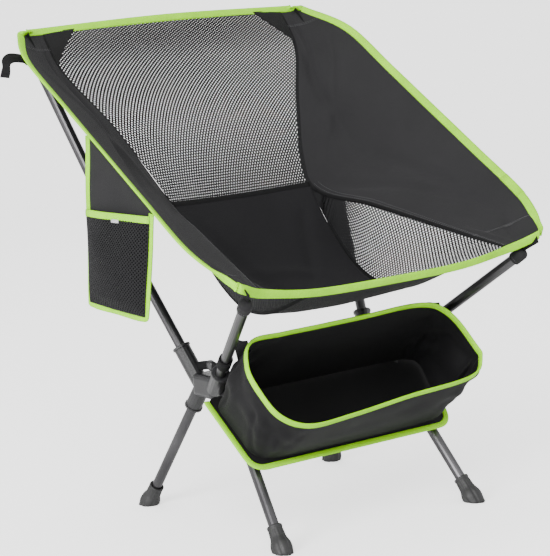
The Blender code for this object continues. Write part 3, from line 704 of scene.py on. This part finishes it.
def towardCloth(i, point, tangent):
    # averaged over its neighbours, so the tape turns evenly round the corners
    return rimInward[i]


limeBand("rimTape", "rimStitches", rimPath, (seat["bindingWide"], seat["bindingThick"]), towardCloth, True,
         seat["bindingWide"] * 0.68, seat["bindingThick"] * 0.82, "root", ["rim_binding"])


def seamTape(name, surface, fixedAt, tSpan, count, width, side, lift=0.0):
    # flat tape laid over a seam, on the sitter's side
    stations = [tSpan[0] + (tSpan[1] - tSpan[0]) * i / (count - 1) for i in range(count)]
    normals = [flip(surfaceNormal(surface, fixedAt, t), side) for t in stations]
    line = [flip(surface(fixedAt, t), side) + n * lift for t, n in zip(stations, normals)]

    def across(i, point, tangent):
        return tangent.cross(normals[i])
    finishPiece(sweepLine(line, (width / 2, 0.0005, 8, 0.5), across), name, "blackWebbing", "root")


for side in (-1, 1):
    label = sideNames[side]
    seamTape("backSeamTape_" + label, sideSurface, 0.0, (0.16, 3.15), 60, seat["tapeWidth"], side)
print("sling seams made")


for side in (-1, 1):
    label = sideNames[side]
    for k, (low, high) in enumerate(((0.44, 0.44), (5.46, 5.46))):
        for gap in (0.0, 0.035):
            rowOnSurface("cornerSeam_%s_%d_%d" % (label, k, gap * 1000), sideSurface,
                         lambda s: (0.02 + 0.95 * s, low + gap * (1.0 if k == 0 else 0.55)), 14, side, 0.0009,
                         "thread")
    for gap in (0.025, 0.055):
        rowOnSurface("tapeSeam_%s_%d" % (label, gap * 1000), sideSurface,
                     lambda s: (gap, 3.05 + 2.85 * s), 50, side, 0.0009, "thread")
    seamTape("gussetTape_" + label, gussetSurface, 0.02, (3.44, 5.94), 44, 0.006, side)
    seamTape("gussetEdge_" + label, gussetSurface, 0.99, (3.1, 5.94), 50, 0.005, side)


heelLine = [centreSurface(-0.99 + 1.98 * i / 40, 3.0) for i in range(41)]
finishPiece(sweepLine(heelLine, (0.0045, 0.0009, 8, 0.6),
                      lambda i, p, t: centreSurface(-0.99 + 1.98 * i / 40, 3.05) - p),
            "heelTape", "blackWebbing", "root")
for side in (-1, 1):
    bm = sheetGrid(lambda a, b: centreSurface(1 - (1 - b) * 0.25 * a, 0.035 + 0.80 * b)
                   + surfaceNormal(centreSurface, 0.9, 0.3) * -0.0009,
                   (0.0, 1.0), (0.0, 0.985), (14, 16), (0.06, 0.075), side)
    patch = finishPiece(bm, "cornerPatch_" + sideNames[side], "spacerCloth", "root")
    giveThickness(patch, 0.0006)
    declareCloth(patch, (0.060, 0.090), area=max(clothArea(patch), 0.0017))

# where the bound edge's two ends lap
lapIndex = min(range(len(rimPath)), key=lambda i: (rimPath[i] - Vector((0.2590, -0.1360, 0.4063))).length)
lapPath = rimPath[lapIndex - 1:lapIndex + 3]
finishPiece(sweepLine(lapPath, (seat["bindingWide"] * 1.08, seat["bindingThick"] * 1.3, 12, 0.75),
                      lambda i, p, t: rimInward[lapIndex - 1 + i]),
            "rimLap", "limeTape", "root")


# storage bag

bag = {
    "top": (0.1500, -0.1355, 0.2600), "lip": (0.1590, -0.1834, 0.1640),
    "baseFront": (0.1480, -0.1150, 0.1030),
    "baseBack": (0.1640, -0.0450, 0.1740), "topRound": 0.032, "lipRound": 0.044, "belly": 0.0100,
    "clothThick": 0.0011, "bandWide": 0.0046, "bandThick": 0.0018, "foldDepth": 0.0085, "baseMargin": 0.0075,
    "baseRound": 0.020, "mouthHeight": 0.1073,
    "mouth": [(-0.158, 0.000), (-0.106, -0.002), (0.000, -0.003), (0.107, -0.004), (0.146, 0.016),
              (0.167, 0.062), (0.170, 0.080), (0.146, 0.102), (0.050, 0.108), (-0.050, 0.115),
              (-0.115, 0.117), (-0.152, 0.098),
              (-0.170, 0.062), (-0.175, 0.030)],
}


def roundedLoop(upper, lower, upperRound, lowerRound, swell, arc=7, longSide=26, shortSide=9):
    upper, lower = Vector(upper), Vector(lower)
    corners = [flip(upper, -1), upper, lower, flip(lower, -1)]
    rounds = [upperRound, upperRound, lowerRound, lowerRound]
    loop = []
    for i, corner in enumerate(corners):
        before, after = corners[i - 1], corners[(i + 1) % 4]
        start = corner + (before - corner).normalized() * rounds[i]
        end = corner + (after - corner).normalized() * rounds[i]
        nextStart = after + (corner - after).normalized() * rounds[(i + 1) % 4]
        for j in range(arc):
            f = j / (arc - 1)
            loop.append(start * (1 - f) ** 2 + corner * 2 * f * (1 - f) + end * f * f)
        steps = longSide if i % 2 == 0 else shortSide
        for j in range(1, steps):
            loop.append(end.lerp(nextStart, j / steps))
    middle, height = (upper.z + lower.z) / 2, abs(upper.z - lower.z) / 2
    for point in loop:
        reach = max(0.0, 1 - ((point.z - middle) / height) ** 2)
        point.x += math.copysign(swell * reach, point.x) if abs(point.x) > 0.05 else 0.0
    return loop


def mouthPoint(x, drop):
    share = drop / bag["mouthHeight"]
    return Vector((x, *(Vector(bag["top"]).lerp(Vector(bag["lip"]), share).yz)))


def roundness(value, power):
    return math.copysign(abs(value) ** power, value)


mouthLoop = smoothLine([mouthPoint(x, drop) for x, drop in bag["mouth"]], 7, closed=True)
baseLoop = []
for point in mouthLoop:      # each point of the mouth goes straight back to its own place on the squarer base
    level = (point.z - bag["top"][2]) / (bag["lip"][2] - bag["top"][2]) * 2 - 1
    angle = math.atan2(roundness(level, 1.4), roundness(point.x / 0.172, 1.4))
    across, down = roundness(math.cos(angle), 0.25), roundness(math.sin(angle), 0.25) * 0.5 + 0.5
    place = Vector(bag["baseBack"]).lerp(Vector(bag["baseFront"]), down)
    place.x *= across
    baseLoop.append(place)
for point in mouthLoop:
    point += Vector((0, 1, 0)) * noise.noise(Vector((point.x * 14, point.z * 9, 4.0))) * 0.004
mouthMiddle = sum(mouthLoop, Vector()) / len(mouthLoop)
baseMiddle = sum(baseLoop, Vector()) / len(baseLoop)
bagAxis = (mouthMiddle - baseMiddle).normalized()
loopCount = len(mouthLoop)


def bagWall(a, b):
    # a round the loop, 0 to 1; b from the mouth, 0, to the base, 1
    at = a * loopCount
    i = int(at) % loopCount
    f = at - int(at)
    top = mouthLoop[i].lerp(mouthLoop[(i + 1) % loopCount], f)
    low = baseLoop[i].lerp(baseLoop[(i + 1) % loopCount], f)
    point = top.lerp(low, b)
    tangent = mouthLoop[(i + 1) % loopCount] - mouthLoop[i - 1]
    out = tangent.cross(bagAxis).normalized()
    if out.dot(point - mouthMiddle.lerp(baseMiddle, b)) < 0:
        out = -out
    atEnd = max(0.0, min(1.0, (abs(point.x) - 0.105) / 0.03))
    fade = math.sin(math.pi * min(1.0, max(0.0, b)) ** 0.8) ** 0.7 if 0 < b < 1 else 0.0
    fold = abs(noise.noise(Vector((a * 24, b * 1.3 + point.x, 2.0)))) * 2 - 0.45
    second = noise.noise(Vector((a * 20 + b * 3, b * 3.4, 7.0)))
    soft = noise.noise(Vector((point.x * 16, b * 2.2, 5.0 + (1 if out.y > 0 else 0))))
    push = bag["foldDepth"] * (fold * 0.75 + second * 0.6) * atEnd + 0.0035 * soft * (1 - atEnd) + 0.0035
    return point + out * push * fade


bm = sheetGrid(bagWall, (0.0, 1.0), (0.02, 0.985), (loopCount, 26), (0.78, 0.12))
bmesh.ops.remove_doubles(bm, verts=bm.verts, dist=0.00002)
bmesh.ops.recalc_face_normals(bm, faces=bm.faces)
bagShell = finishPiece(bm, "bagWalls", "bagCloth", "root", ["storage_bag"])
giveThickness(bagShell, bag["clothThick"])
addModifier(bagShell, "SUBSURF", levels=1, render_levels=1)


def baseOutline(grow, arc=9):
    outward = (Vector(bag["baseFront"]) - Vector(bag["baseBack"])).normalized() * grow
    outward.x = 0
    back = Vector(bag["baseBack"]) - outward + Vector((grow, 0, 0))
    front = Vector(bag["baseFront"]) + outward + Vector((grow, 0, 0))
    return roundedLoop(back, front, 0.012, bag["baseRound"], 0.0, arc)


baseDrop = bagAxis * -0.0016
outline = [point + baseDrop for point in baseOutline(bag["baseMargin"] - 0.003)]
bm = bmesh.new()
uvLayer = bm.loops.layers.uv.new("UVMap")
face = bm.faces.new([bm.verts.new(point) for point in outline])
bmesh.ops.inset_region(bm, faces=[face], thickness=0.012, use_even_offset=True)
for face in bm.faces:
    for loop in face.loops:
        loop[uvLayer].uv = (loop.vert.co.x, loop.vert.co.y * 1.4)
bagBase = finishPiece(bm, "bagBase", "bagCloth", "root", smooth=False)
giveThickness(bagBase, bag["clothThick"])

bandPath = smoothLine([mouthLoop[i] for i in range(0, loopCount, 2)], 2, closed=True)


def downTheWall(i, point, tangent):
    return -bagAxis


limeBand("bagMouthTape", "bagMouthStitches", bandPath, (bag["bandWide"], bag["bandThick"]), downTheWall, True,
         bag["bandWide"] * 0.6, bag["bandThick"] * 0.85, "root", ["bag_rim_binding"])
edge = [point + baseDrop for point in baseOutline(bag["baseMargin"])]
nearBack = [point.x > 0 and (point - Vector(bag["baseBack"])).length < 0.03 for point in edge]
start = nearBack.index(True)
order = edge[start + 5:] + edge[:3]
baseCentre = sum(edge, Vector()) / len(edge)


def towardBase(i, point, tangent):
    return baseCentre - point


limeBand("bagBaseTape", "bagBaseStitches", order, (bag["bandWide"] * 0.9, bag["bandThick"]), towardBase,
         False, bag["bandWide"] * 0.55, bag["bandThick"] * 0.85, "root", ["bag_base_binding"])
declareCloth(bagShell, (0.125, 0.780), held="hung", area=0.0868)
declareCloth(bagBase, (0.100, 0.345), area=clothArea(bagBase))
print("storage bag made")


# phone pocket

pocket = {
    "tilt": 5.5, "rearY": 0.0455, "foreY": -0.0956, "mouth": 0.010, "height": 0.113, "taper": 0.014,
    "bulge": 0.0135, "netPitch": 0.0052, "netBar": 0.20, "bandWide": 0.0048, "bandThick": 0.0015,
}


def rimAt(y):
    low, high = 0.0, 6.0
    for _ in range(40):
        middle = (low + high) / 2
        if smoothPoint(rimLine, middle).y > y:
            low = middle
        else:
            high = middle
    return smoothPoint(rimLine, low)


rearTop, foreTop = flip(rimAt(pocket["rearY"]), -1), flip(rimAt(pocket["foreY"]), -1)
hang = Vector((-math.sin(math.radians(pocket["tilt"])), 0, -math.cos(math.radians(pocket["tilt"]))))
slope = -hang.z
forward = foreTop - rearTop
mouthRear = rearTop + hang * ((pocket["mouth"] - forward.z) / slope)
mouthFore = foreTop + hang * (pocket["mouth"] / slope)
footRear = mouthRear + hang * (pocket["height"] / slope) + Vector((0, -pocket["taper"] * 0.7, 0))
footFore = mouthFore + hang * (pocket["height"] / slope) + Vector((0, pocket["taper"], -0.008))
outOfPocket = forward.normalized().cross(hang).normalized()
if outOfPocket.x > 0:
    outOfPocket = -outOfPocket


def pocketWave(y, z):
    # the hanging cloth bows a little
    return outOfPocket * (noise.noise(Vector((y * 16, z * 14, 2.5))) * 0.0035)


def pocketPanel(a, b):
    rear = (rearTop + hang * 0.001).lerp(footRear, b)
    fore = (foreTop + hang * 0.001).lerp(footFore, b)
    point = rear.lerp(fore, a)
    return point + pocketWave(point.y, point.z) * min(1.0, b * 3)


def pouchFront(a, b):
    point = mouthRear.lerp(footRear, b).lerp(mouthFore.lerp(footFore, b), a)
    swell = math.sin(math.pi * max(0.0, min(1.0, a))) ** 0.7
    swell *= 0.55 + 0.45 * math.sin(math.pi * (b * 0.9 + 0.1))
    swell *= min(1.0, (1.02 - b) * 7) if b > 0.85 else 1.0
    dent = 0.30 * math.exp(-(((a - 0.45) / 0.22) ** 2 + ((b - 0.28) / 0.16) ** 2))
    rise = pocket["bulge"] * max(0.0, swell - dent) + 0.0012
    return point + outOfPocket * rise + pocketWave(point.y, point.z)


panel = finishPiece(sheetGrid(pocketPanel, (0.0, 1.0), (0.0, 1.0), (26, 40), (0.14, 0.21)), "pocketPanel",
                    "sideCloth", "phone_pocket", ["phone_pocket_panel"])
giveThickness(panel, 0.0010)
cuts = (int(0.135 / pocket["netPitch"]), int(0.125 / pocket["netPitch"]))
pouchNet = finishPiece(openNet(sheetGrid(pouchFront, (0.01, 0.99), (0.03, 0.985), cuts, (0.135, 0.125)),
                               pocket["netBar"]), "pocketNet", "netYarn", "phone_pocket",
                       ["phone_pocket_mesh"])
giveThickness(pouchNet, 0.0012)
declareCloth(panel, (0.150, 0.210), held="hung", area=clothArea(panel))
bm = sheetGrid(lambda a, b: pouchFront(a, b) - outOfPocket * 0.0016, (0.02, 0.98), (0.035, 0.98), (24, 20),
               (0.135, 0.125))
lining = finishPiece(bm, "pocketLining", "netYarn", "phone_pocket")
declareCloth(pouchNet, (0.135, 0.125), held="hung", area=0.0150)
declareCloth(lining, (0.135, 0.125), held="hung", area=0.0150)

edgeStops = [rearTop + hang * 0.002, rearTop.lerp(footRear, 0.5), rearTop.lerp(footRear, 0.94),
             footRear + (footFore - footRear) * 0.06, footRear.lerp(footFore, 0.5),
             footFore + (footRear - footFore) * 0.07, footFore.lerp(mouthFore, 0.08),
             footFore.lerp(mouthFore, 0.55),
             foreTop + hang * 0.004]
edgePath = [p + pocketWave(p.y, p.z) for p in smoothLine(edgeStops, 6)]
pocketMiddle = (rearTop + footRear + footFore + foreTop) / 4


def towardPocket(i, point, tangent):
    across = outOfPocket.cross(tangent)
    return across if across.dot(pocketMiddle - point) > 0 else -across


limeBand("pocketTape", "pocketStitches", edgePath, (pocket["bandWide"], pocket["bandThick"]), towardPocket,
         False, pocket["bandWide"] * 0.6, pocket["bandThick"] * 0.85, "phone_pocket",
         ["phone_pocket_binding"])
mouthPath = [pouchFront(0.01 + 0.98 * i / 24, 0.012) for i in range(25)]
limeBand("pocketMouthTape", "pocketMouthStitches", mouthPath, (pocket["bandWide"] * 0.95, 0.0013),
         lambda i, p, t: hang, False, pocket["bandWide"] * 0.55, 0.0011, "phone_pocket")
tagPath = [pouchFront(0.50 + 0.10 * i / 3, 0.055) + outOfPocket * 0.0012 for i in range(4)]
finishPiece(sweepLine(tagPath, (0.0022, 0.0004, 8, 0.4), lambda i, p, t: hang), "pocketTag", "paleThread",
            "phone_pocket")
print("phone pocket made")
# pole pockets, tabs and straps

fittings = {
    "tubeRadius": 0.00675, "pocketFit": 0.0007, "pocketWall": 0.0011, "pocketDepth": 0.0135,
    "pocketEnd": 0.0062,
    "wrinkle": 0.0005, "webThick": 0.0007, "tabWide": 0.0092, "strapWide": 0.0150,
}


def turnedForm(profile, steps=40):
    # a profile of (radius, height) spun once round Z
    bm = bmesh.new()
    line = [bm.verts.new((radius, 0, height)) for radius, height in profile]
    edges = [bm.edges.new(pair) for pair in zip(line, line[1:])]
    bmesh.ops.spin(bm, geom=line + edges, cent=(0, 0, 0), axis=(0, 0, 1), angle=2 * math.pi, steps=steps,
                   use_merge=True)
    bmesh.ops.remove_doubles(bm, verts=bm.verts, dist=0.00001)
    bmesh.ops.recalc_face_normals(bm, faces=bm.faces)
    return bm


def wrapUv(bm):
    # metres round the form and along it
    layer = bm.loops.layers.uv.new("UVMap")
    for face in bm.faces:
        middle = face.calc_center_median()
        at = math.atan2(middle.y, middle.x)
        for loop in face.loops:
            co = loop.vert.co
            angle = math.atan2(co.y, co.x) if co.xy.length > 1e-6 else at
            if angle - at > math.pi:
                angle -= 2 * math.pi
            if at - angle > math.pi:
                angle += 2 * math.pi
            loop[layer].uv = (co.z, angle * fittings["tubeRadius"] * 1.2)


def placeAlong(bm, start, direction, turn=0.0):
    spin = Vector(direction).to_track_quat("Z", "Y").to_matrix().to_4x4() @ Matrix.Rotation(turn, 4, "Z")
    bmesh.ops.transform(bm, matrix=Matrix.Translation(start) @ spin, verts=bm.verts)


def webPair(name, stops, perSpan, profile, wide, look, replaced="", twist=None):
    # the same strap on each side, along a few points
    for side in (-1, 1):
        line = [flip(p, side) for p in smoothLine([Vector(p) for p in stops], perSpan)]
        bm = sweepLine(line, profile, lambda i, p, t: Vector(wide), twist=twist)
        nodes = [replaced + sideNames[side]] if replaced else []
        finishPiece(bm, name + sideNames[side], look, "root", nodes)


poleEnds = {"back": (Vector((0.22191, 0.25621, 0.62607)), Vector((0.14987, 0.44669, 0.88205)), 0.0243),
            "front": (Vector((0.2209, -0.2345, 0.3391)), Vector((0.2862, -0.77245, 0.56693)), 0.0297)}
for label, (tip, way, setback) in poleEnds.items():
    way = way.normalized()
    for side in (-1, 1):
        tail = "_%s_%s" % (label, sideNames[side])
        inner = fittings["tubeRadius"] + fittings["pocketFit"]
        outer = inner + fittings["pocketWall"]
        depth, end = fittings["pocketDepth"], fittings["pocketEnd"]
        profile = [(inner, -depth), (outer, -depth), (outer + 0.0005, -depth + 0.0015),
                   (outer, -depth + 0.0045), (outer + 0.0002, -0.006), (outer, end - 0.0045),
                   (outer * 0.82, end - 0.0012),
                   (outer * 0.45, end), (0.0, end + 0.0002)]
        bm = turnedForm(profile)
        bmesh.ops.subdivide_edges(bm, edges=[e for e in bm.edges if e.calc_length() > 0.004], cuts=2,
                                  use_grid_fill=True)
        wrapUv(bm)
        for vert in bm.verts:
            if vert.co.xy.length > inner + 0.0005:
                wave = noise.noise(Vector((vert.co.x * 260, vert.co.y * 260, vert.co.z * 60 + side)))
                vert.co.xy *= 1 + wave * fittings["wrinkle"] / vert.co.xy.length
        placeAlong(bm, flip(tip - way * setback, side), flip(way, side))
        sleeve = finishPiece(bm, "poleSleeve" + tail, "sideCloth", "root",
                             ["tip_pocket" + tail])
        giveThickness(sleeve, 0.0008, -1.0)
        addModifier(sleeve, "SUBSURF", levels=1, render_levels=1)
        # seam round the sleeve's mouth
        outs = [Matrix.Rotation(2 * math.pi * k / 48, 3, "Z") @ Vector((1, 0, 0)) for k in range(49)]
        ring = [out * (outer + 0.0002) + Vector((0, 0, 0.0042 - depth)) for out in outs]
        bm = stitchRow(ring, outs, 0.0026, 0.0018, 0.0005, 0.0002)
        placeAlong(bm, flip(tip - way * setback, side), flip(way, side))
        finishPiece(bm, "poleSleeveStitch" + tail, "thread", "root")
        # small black web tab that joins the sleeve to the bound corner
        start = tip - way * (setback + 0.004) + Vector((0, 0, 0.0085))
        finish = Vector(seat["corner" + label.title()]) + Vector((-0.010, 0, -0.004))
        line = [flip(start.lerp(finish, k / 5), side) for k in range(6)]
        bm = sweepLine(line, (0.0075, fittings["webThick"], 8, 0.45), lambda i, p, t: Vector((0, 1, 0.4)))
        finishPiece(bm, "poleSleeveTab" + tail, "blackWebbing", "root")

webPair("pullTab_", ((0.2150, 0.2500, 0.6010), (0.2230, 0.2590, 0.6020), (0.2320, 0.2600, 0.6045),
                     (0.2440, 0.2600, 0.6058), (0.2510, 0.2600, 0.6010), (0.2530, 0.2600, 0.5910),
                     (0.2560, 0.2600, 0.5810)), 5, (fittings["tabWide"], fittings["webThick"], 12, 0.4),
        (0, 0.75, 0.65), "blackWebbing", "pull_tab_")
for side in (-1, 1):      # the strap goes round the front pole
    root, way = Vector((0.1425, -0.0229, 0.1838)), poleEnds["front"][1].normalized()
    wrap = fittings["tubeRadius"] + fittings["pocketFit"]
    profile = [(wrap, 0.0), (wrap + 0.0002, 0.0), (wrap + 0.0015, 0.0004), (wrap + 0.0015, 0.0196),
               (wrap, 0.020)]
    bm = turnedForm(profile)
    wrapUv(bm)
    placeAlong(bm, flip(root + way * 0.070, side), flip(way, side))
    finishPiece(bm, "bagStrap_" + sideNames[side], "blackWebbing", "root",
                ["bag_strap_" + sideNames[side]])
# and its tail runs to the bag's corner
webPair("bagStrapTail_", ((0.1500, -0.0880, 0.2400), (0.1508, -0.0980, 0.2445), (0.1512, -0.1080, 0.2475),
                          (0.1506, -0.1190, 0.2520)), 4,
        (fittings["strapWide"], fittings["webThick"], 12, 0.4), (0, 0.35, -0.9), "blackWebbing",
        twist=lambda s: 1.0 - 0.55 * s)
print("pole pockets, tabs and straps made")


# rubber feet

foot = {"collar": 0.00980, "neck": 0.00915, "flare": 0.01350, "grip": 0.0240, "lobes": 6, "lobeDepth": 0.0011,
        "ribs": 14, "ribDepth": 0.00035}
legs = {"front": (Vector((0.128, -0.0229, 0.1838)), Vector((0.10446, -0.61229, -0.7837))),
        "rear": (Vector((0.132, 0.0207, 0.1815)), Vector((0.09137, 0.58074, -0.80894)))}
for label, (root, way) in legs.items():
    for side in (-1, 1):
        length = root.z / -way.z
        end = root + way * (length - 0.0120)
        bore = fittings["tubeRadius"] + 0.0004
        top, bottom = -foot["grip"], 0.0285
        profile = [(bore, top + 0.001), (bore + 0.0004, top), (foot["collar"] - 0.0004, top),
                   (foot["collar"], top + 0.0006), (foot["collar"], top + 0.0032),
                   (foot["collar"] - 0.0004, top + 0.0038), (foot["neck"], top + 0.0044)]
        profile += [(foot["neck"] + 0.0001 * k, top + 0.0044 + 0.0018 * k) for k in range(1, 7)]
        flareShape = ((0.76, -0.0062), (0.88, -0.0030), (0.97, 0.0006), (1.0, 0.0042), (0.995, 0.0078),
                      (0.96, 0.0105), (0.90, 0.0150), (0.84, bottom))
        profile += [(foot["flare"] * share, height) for share, height in flareShape] + [(0.0, bottom)]
        bm = turnedForm(profile, 84)
        for vert in bm.verts:
            angle = math.atan2(vert.co.y, vert.co.x)
            lobe = max(0.0, min(1.0, (vert.co.z + 0.0060) / 0.007))
            rib = 1.0 if top + 0.005 < vert.co.z < -0.0060 else 0.0
            radius = vert.co.xy.length
            if radius > 0.002:
                shift = -foot["lobeDepth"] * lobe * max(0.0, math.cos(foot["lobes"] * angle)) ** 2
                shift += foot["ribDepth"] * rib * (1 if math.cos(foot["ribs"] * angle) > 0.2 else 0)
                vert.co.xy *= (radius + shift) / radius
        wrapUv(bm)
        placeAlong(bm, flip(end, side), flip(way, side))
        result = bmesh.ops.bisect_plane(bm, geom=bm.verts[:] + bm.edges[:] + bm.faces[:], plane_co=(0, 0, 0),
                                        plane_no=(0, 0, -1), clear_outer=True)
        rim = [e for e in result["geom_cut"] if isinstance(e, bmesh.types.BMEdge)]
        bmesh.ops.holes_fill(bm, edges=rim, sides=0)
        name = "%s_%s" % (label, sideNames[side])
        finishPiece(bm, "rubberFoot_" + name, "footRubber", "leg_body_" + name,
                    ["foot_" + name])
print("feet made")


# small parts on the hubs

hubParts = {"dome": 0.0098, "domeRise": 0.0034, "at": (0.1440, 0.0010, 0.1830)}
rise = hubParts["domeRise"]
for side in (-1, 1):      # a rounded boss on the hub's outer face, with a sunk ring
    profile = [(0.0, rise), (0.0036, rise - 0.0001), (0.0042, rise - 0.0008), (0.0050, rise - 0.0008),
               (0.0056, rise), (0.0078, rise - 0.0004), (0.0092, rise - 0.0016), (hubParts["dome"], 0.0002),
               (hubParts["dome"], -0.0040)]
    bm = turnedForm(profile, 36)
    wrapUv(bm)
    placeAlong(bm, flip(hubParts["at"], side), flip((1, 0, 0), side))
    finishPiece(bm, "hubBoss_" + sideNames[side], "hubPlastic", "root")
# the strap above each hub, between its poles, and the keeper on it
webPair("hubWebBlock_", ((0.1380, 0.0300, 0.2020), (0.1372, 0.0147, 0.2065), (0.1390, -0.0080, 0.2105),
                         (0.1450, -0.0320, 0.2120), (0.1540, -0.0560, 0.2115)), 4, (0.0058, 0.0028, 14, 0.55),
        (0, 0.4, 1), "blackWebbing")
webPair("hubStrapKeeper_", ((0.1380, -0.0040, 0.2100), (0.1392, -0.0085, 0.2106), (0.1408, -0.0155, 0.2112),
                            (0.1425, -0.0215, 0.2116)), 4, (0.0070, 0.0044, 16, 0.7), (0, 0.4, 1),
        "hubPlastic", twist=lambda s: 0.80 + 0.20 * math.sin(math.pi * s))
print("hub parts made")




# studio

def makeStudio():
    bm = bmesh.new()
    bmesh.ops.create_grid(bm, x_segments=2, y_segments=60, size=0.5)
    for vert in bm.verts:
        share = vert.co.y + 0.5
        along = share * 14.0 - 6.0
        x = vert.co.x * 30.0
        if along < 3.0:
            vert.co = (x, along, 0.0)
        else:
            angle = min((along - 3.0) / 2.5, math.pi / 2)
            rest = max(0.0, along - 3.0 - 2.5 * math.pi / 2)
            vert.co = (x, 3.0 + 2.5 * math.sin(angle), 2.5 * (1 - math.cos(angle)) + rest)
    bmesh.ops.recalc_face_normals(bm, faces=bm.faces)
    mesh = bpy.data.meshes.new("floor")
    bm.to_mesh(mesh)
    bm.free()
    floor = bpy.data.objects.new("floor", mesh)
    bpy.context.collection.objects.link(floor)
    mesh.polygons.foreach_set("use_smooth", [True] * len(mesh.polygons))
    material, tree, shader = newMaterial("floorPaper")
    shader.inputs["Base Color"].default_value = (0.92, 0.92, 0.92, 1)
    shader.inputs["Roughness"].default_value = 0.9
    seen = addNode(tree, "ShaderNodeLightPath")
    strength = mathNode(tree, "MULTIPLY", seen.outputs[0], studio["paper"])
    glow = addNode(tree, "ShaderNodeEmission", Strength=strength)
    both = addNode(tree, "ShaderNodeAddShader")
    tree.links.new(shader.outputs[0], both.inputs[0])
    tree.links.new(glow.outputs[0], both.inputs[1])
    tree.links.new(both.outputs[0], tree.nodes["Material Output"].inputs["Surface"])
    mesh.materials.append(material)
    floor.rotation_euler = (0, 0, math.radians(-34))
    world = bpy.data.worlds.new("softRoom")
    world.use_nodes = True
    world.node_tree.nodes["Background"].inputs["Color"].default_value = (1, 1, 1, 1)
    world.node_tree.nodes["Background"].inputs["Strength"].default_value = studio["world"]
    bpy.context.scene.world = world
    for name, at, size, power in studio["lamps"]:
        lamp = bpy.data.lights.new(name, "AREA")
        lamp.energy = power
        lamp.size = size
        item = bpy.data.objects.new(name, lamp)
        item.location = at
        aim = Vector((0, 0, 0.3)) - Vector(at)
        item.rotation_euler = aim.to_track_quat("-Z", "Y").to_euler()
        bpy.context.collection.objects.link(item)


def makeCamera():
    azimuth, elevation, roll = (math.radians(view[k]) for k in ("azimuth", "elevation", "roll"))
    away = Vector((math.sin(azimuth) * math.cos(elevation), -math.cos(azimuth) * math.cos(elevation),
                   math.sin(elevation)))
    forward = -away
    right = forward.cross(Vector((0, 0, 1))).normalized()
    up = right.cross(forward)
    rightTurned = right * math.cos(roll) + up * math.sin(roll)
    upTurned = up * math.cos(roll) - right * math.sin(roll)
    turn = Matrix((rightTurned, upTurned, away)).transposed()
    lens = bpy.data.cameras.new("camera")
    lens.lens = view["lens"]
    lens.sensor_width = 36
    camera = bpy.data.objects.new("camera", lens)
    camera.matrix_world = Matrix.Translation(Vector(view["target"]) + away * view["distance"]) @ turn.to_4x4()
    bpy.context.collection.objects.link(camera)
    bpy.context.scene.camera = camera


view = {"azimuth": -34.15, "elevation": 9.54, "roll": -3.82, "distance": 2.615, "lens": 134.4,
        "target": (-0.0604, -0.0815, 0.3176)}
studio = {"world": 0.95, "paper": 1.3,
          "lamps": [("keyLamp", (-2.2, -2.6, 3.2), 2.2, 100), ("fillLamp", (2.8, -1.6, 1.8), 2.5, 20),
                    ("topLamp", (0.2, 1.2, 3.6), 2.0, 34), ("leftLamp", (-3.0, -1.0, 1.2), 1.5, 130)]}
makeStudio()
makeCamera()

nodeLooks = {"pole_cap": "hubPlastic", "hub": "hubPlastic", "ferrule": "ferruleMetal", "shock": "cordBraid",
             "foot": "footRubber", "pocket": "sideCloth", "tab": "blackWebbing", "strap": "blackWebbing",
             "binding": "limeTape", "bag": "bagCloth", "pole": "poleMetal", "leg": "poleMetal",
             "bar": "poleMetal"}
for node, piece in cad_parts.items():
    kind = next((look for key, look in nodeLooks.items() if key in node), None)
    if kind:
        piece.data.materials.clear()
        piece.data.materials.append(looks[kind])

print("finished")
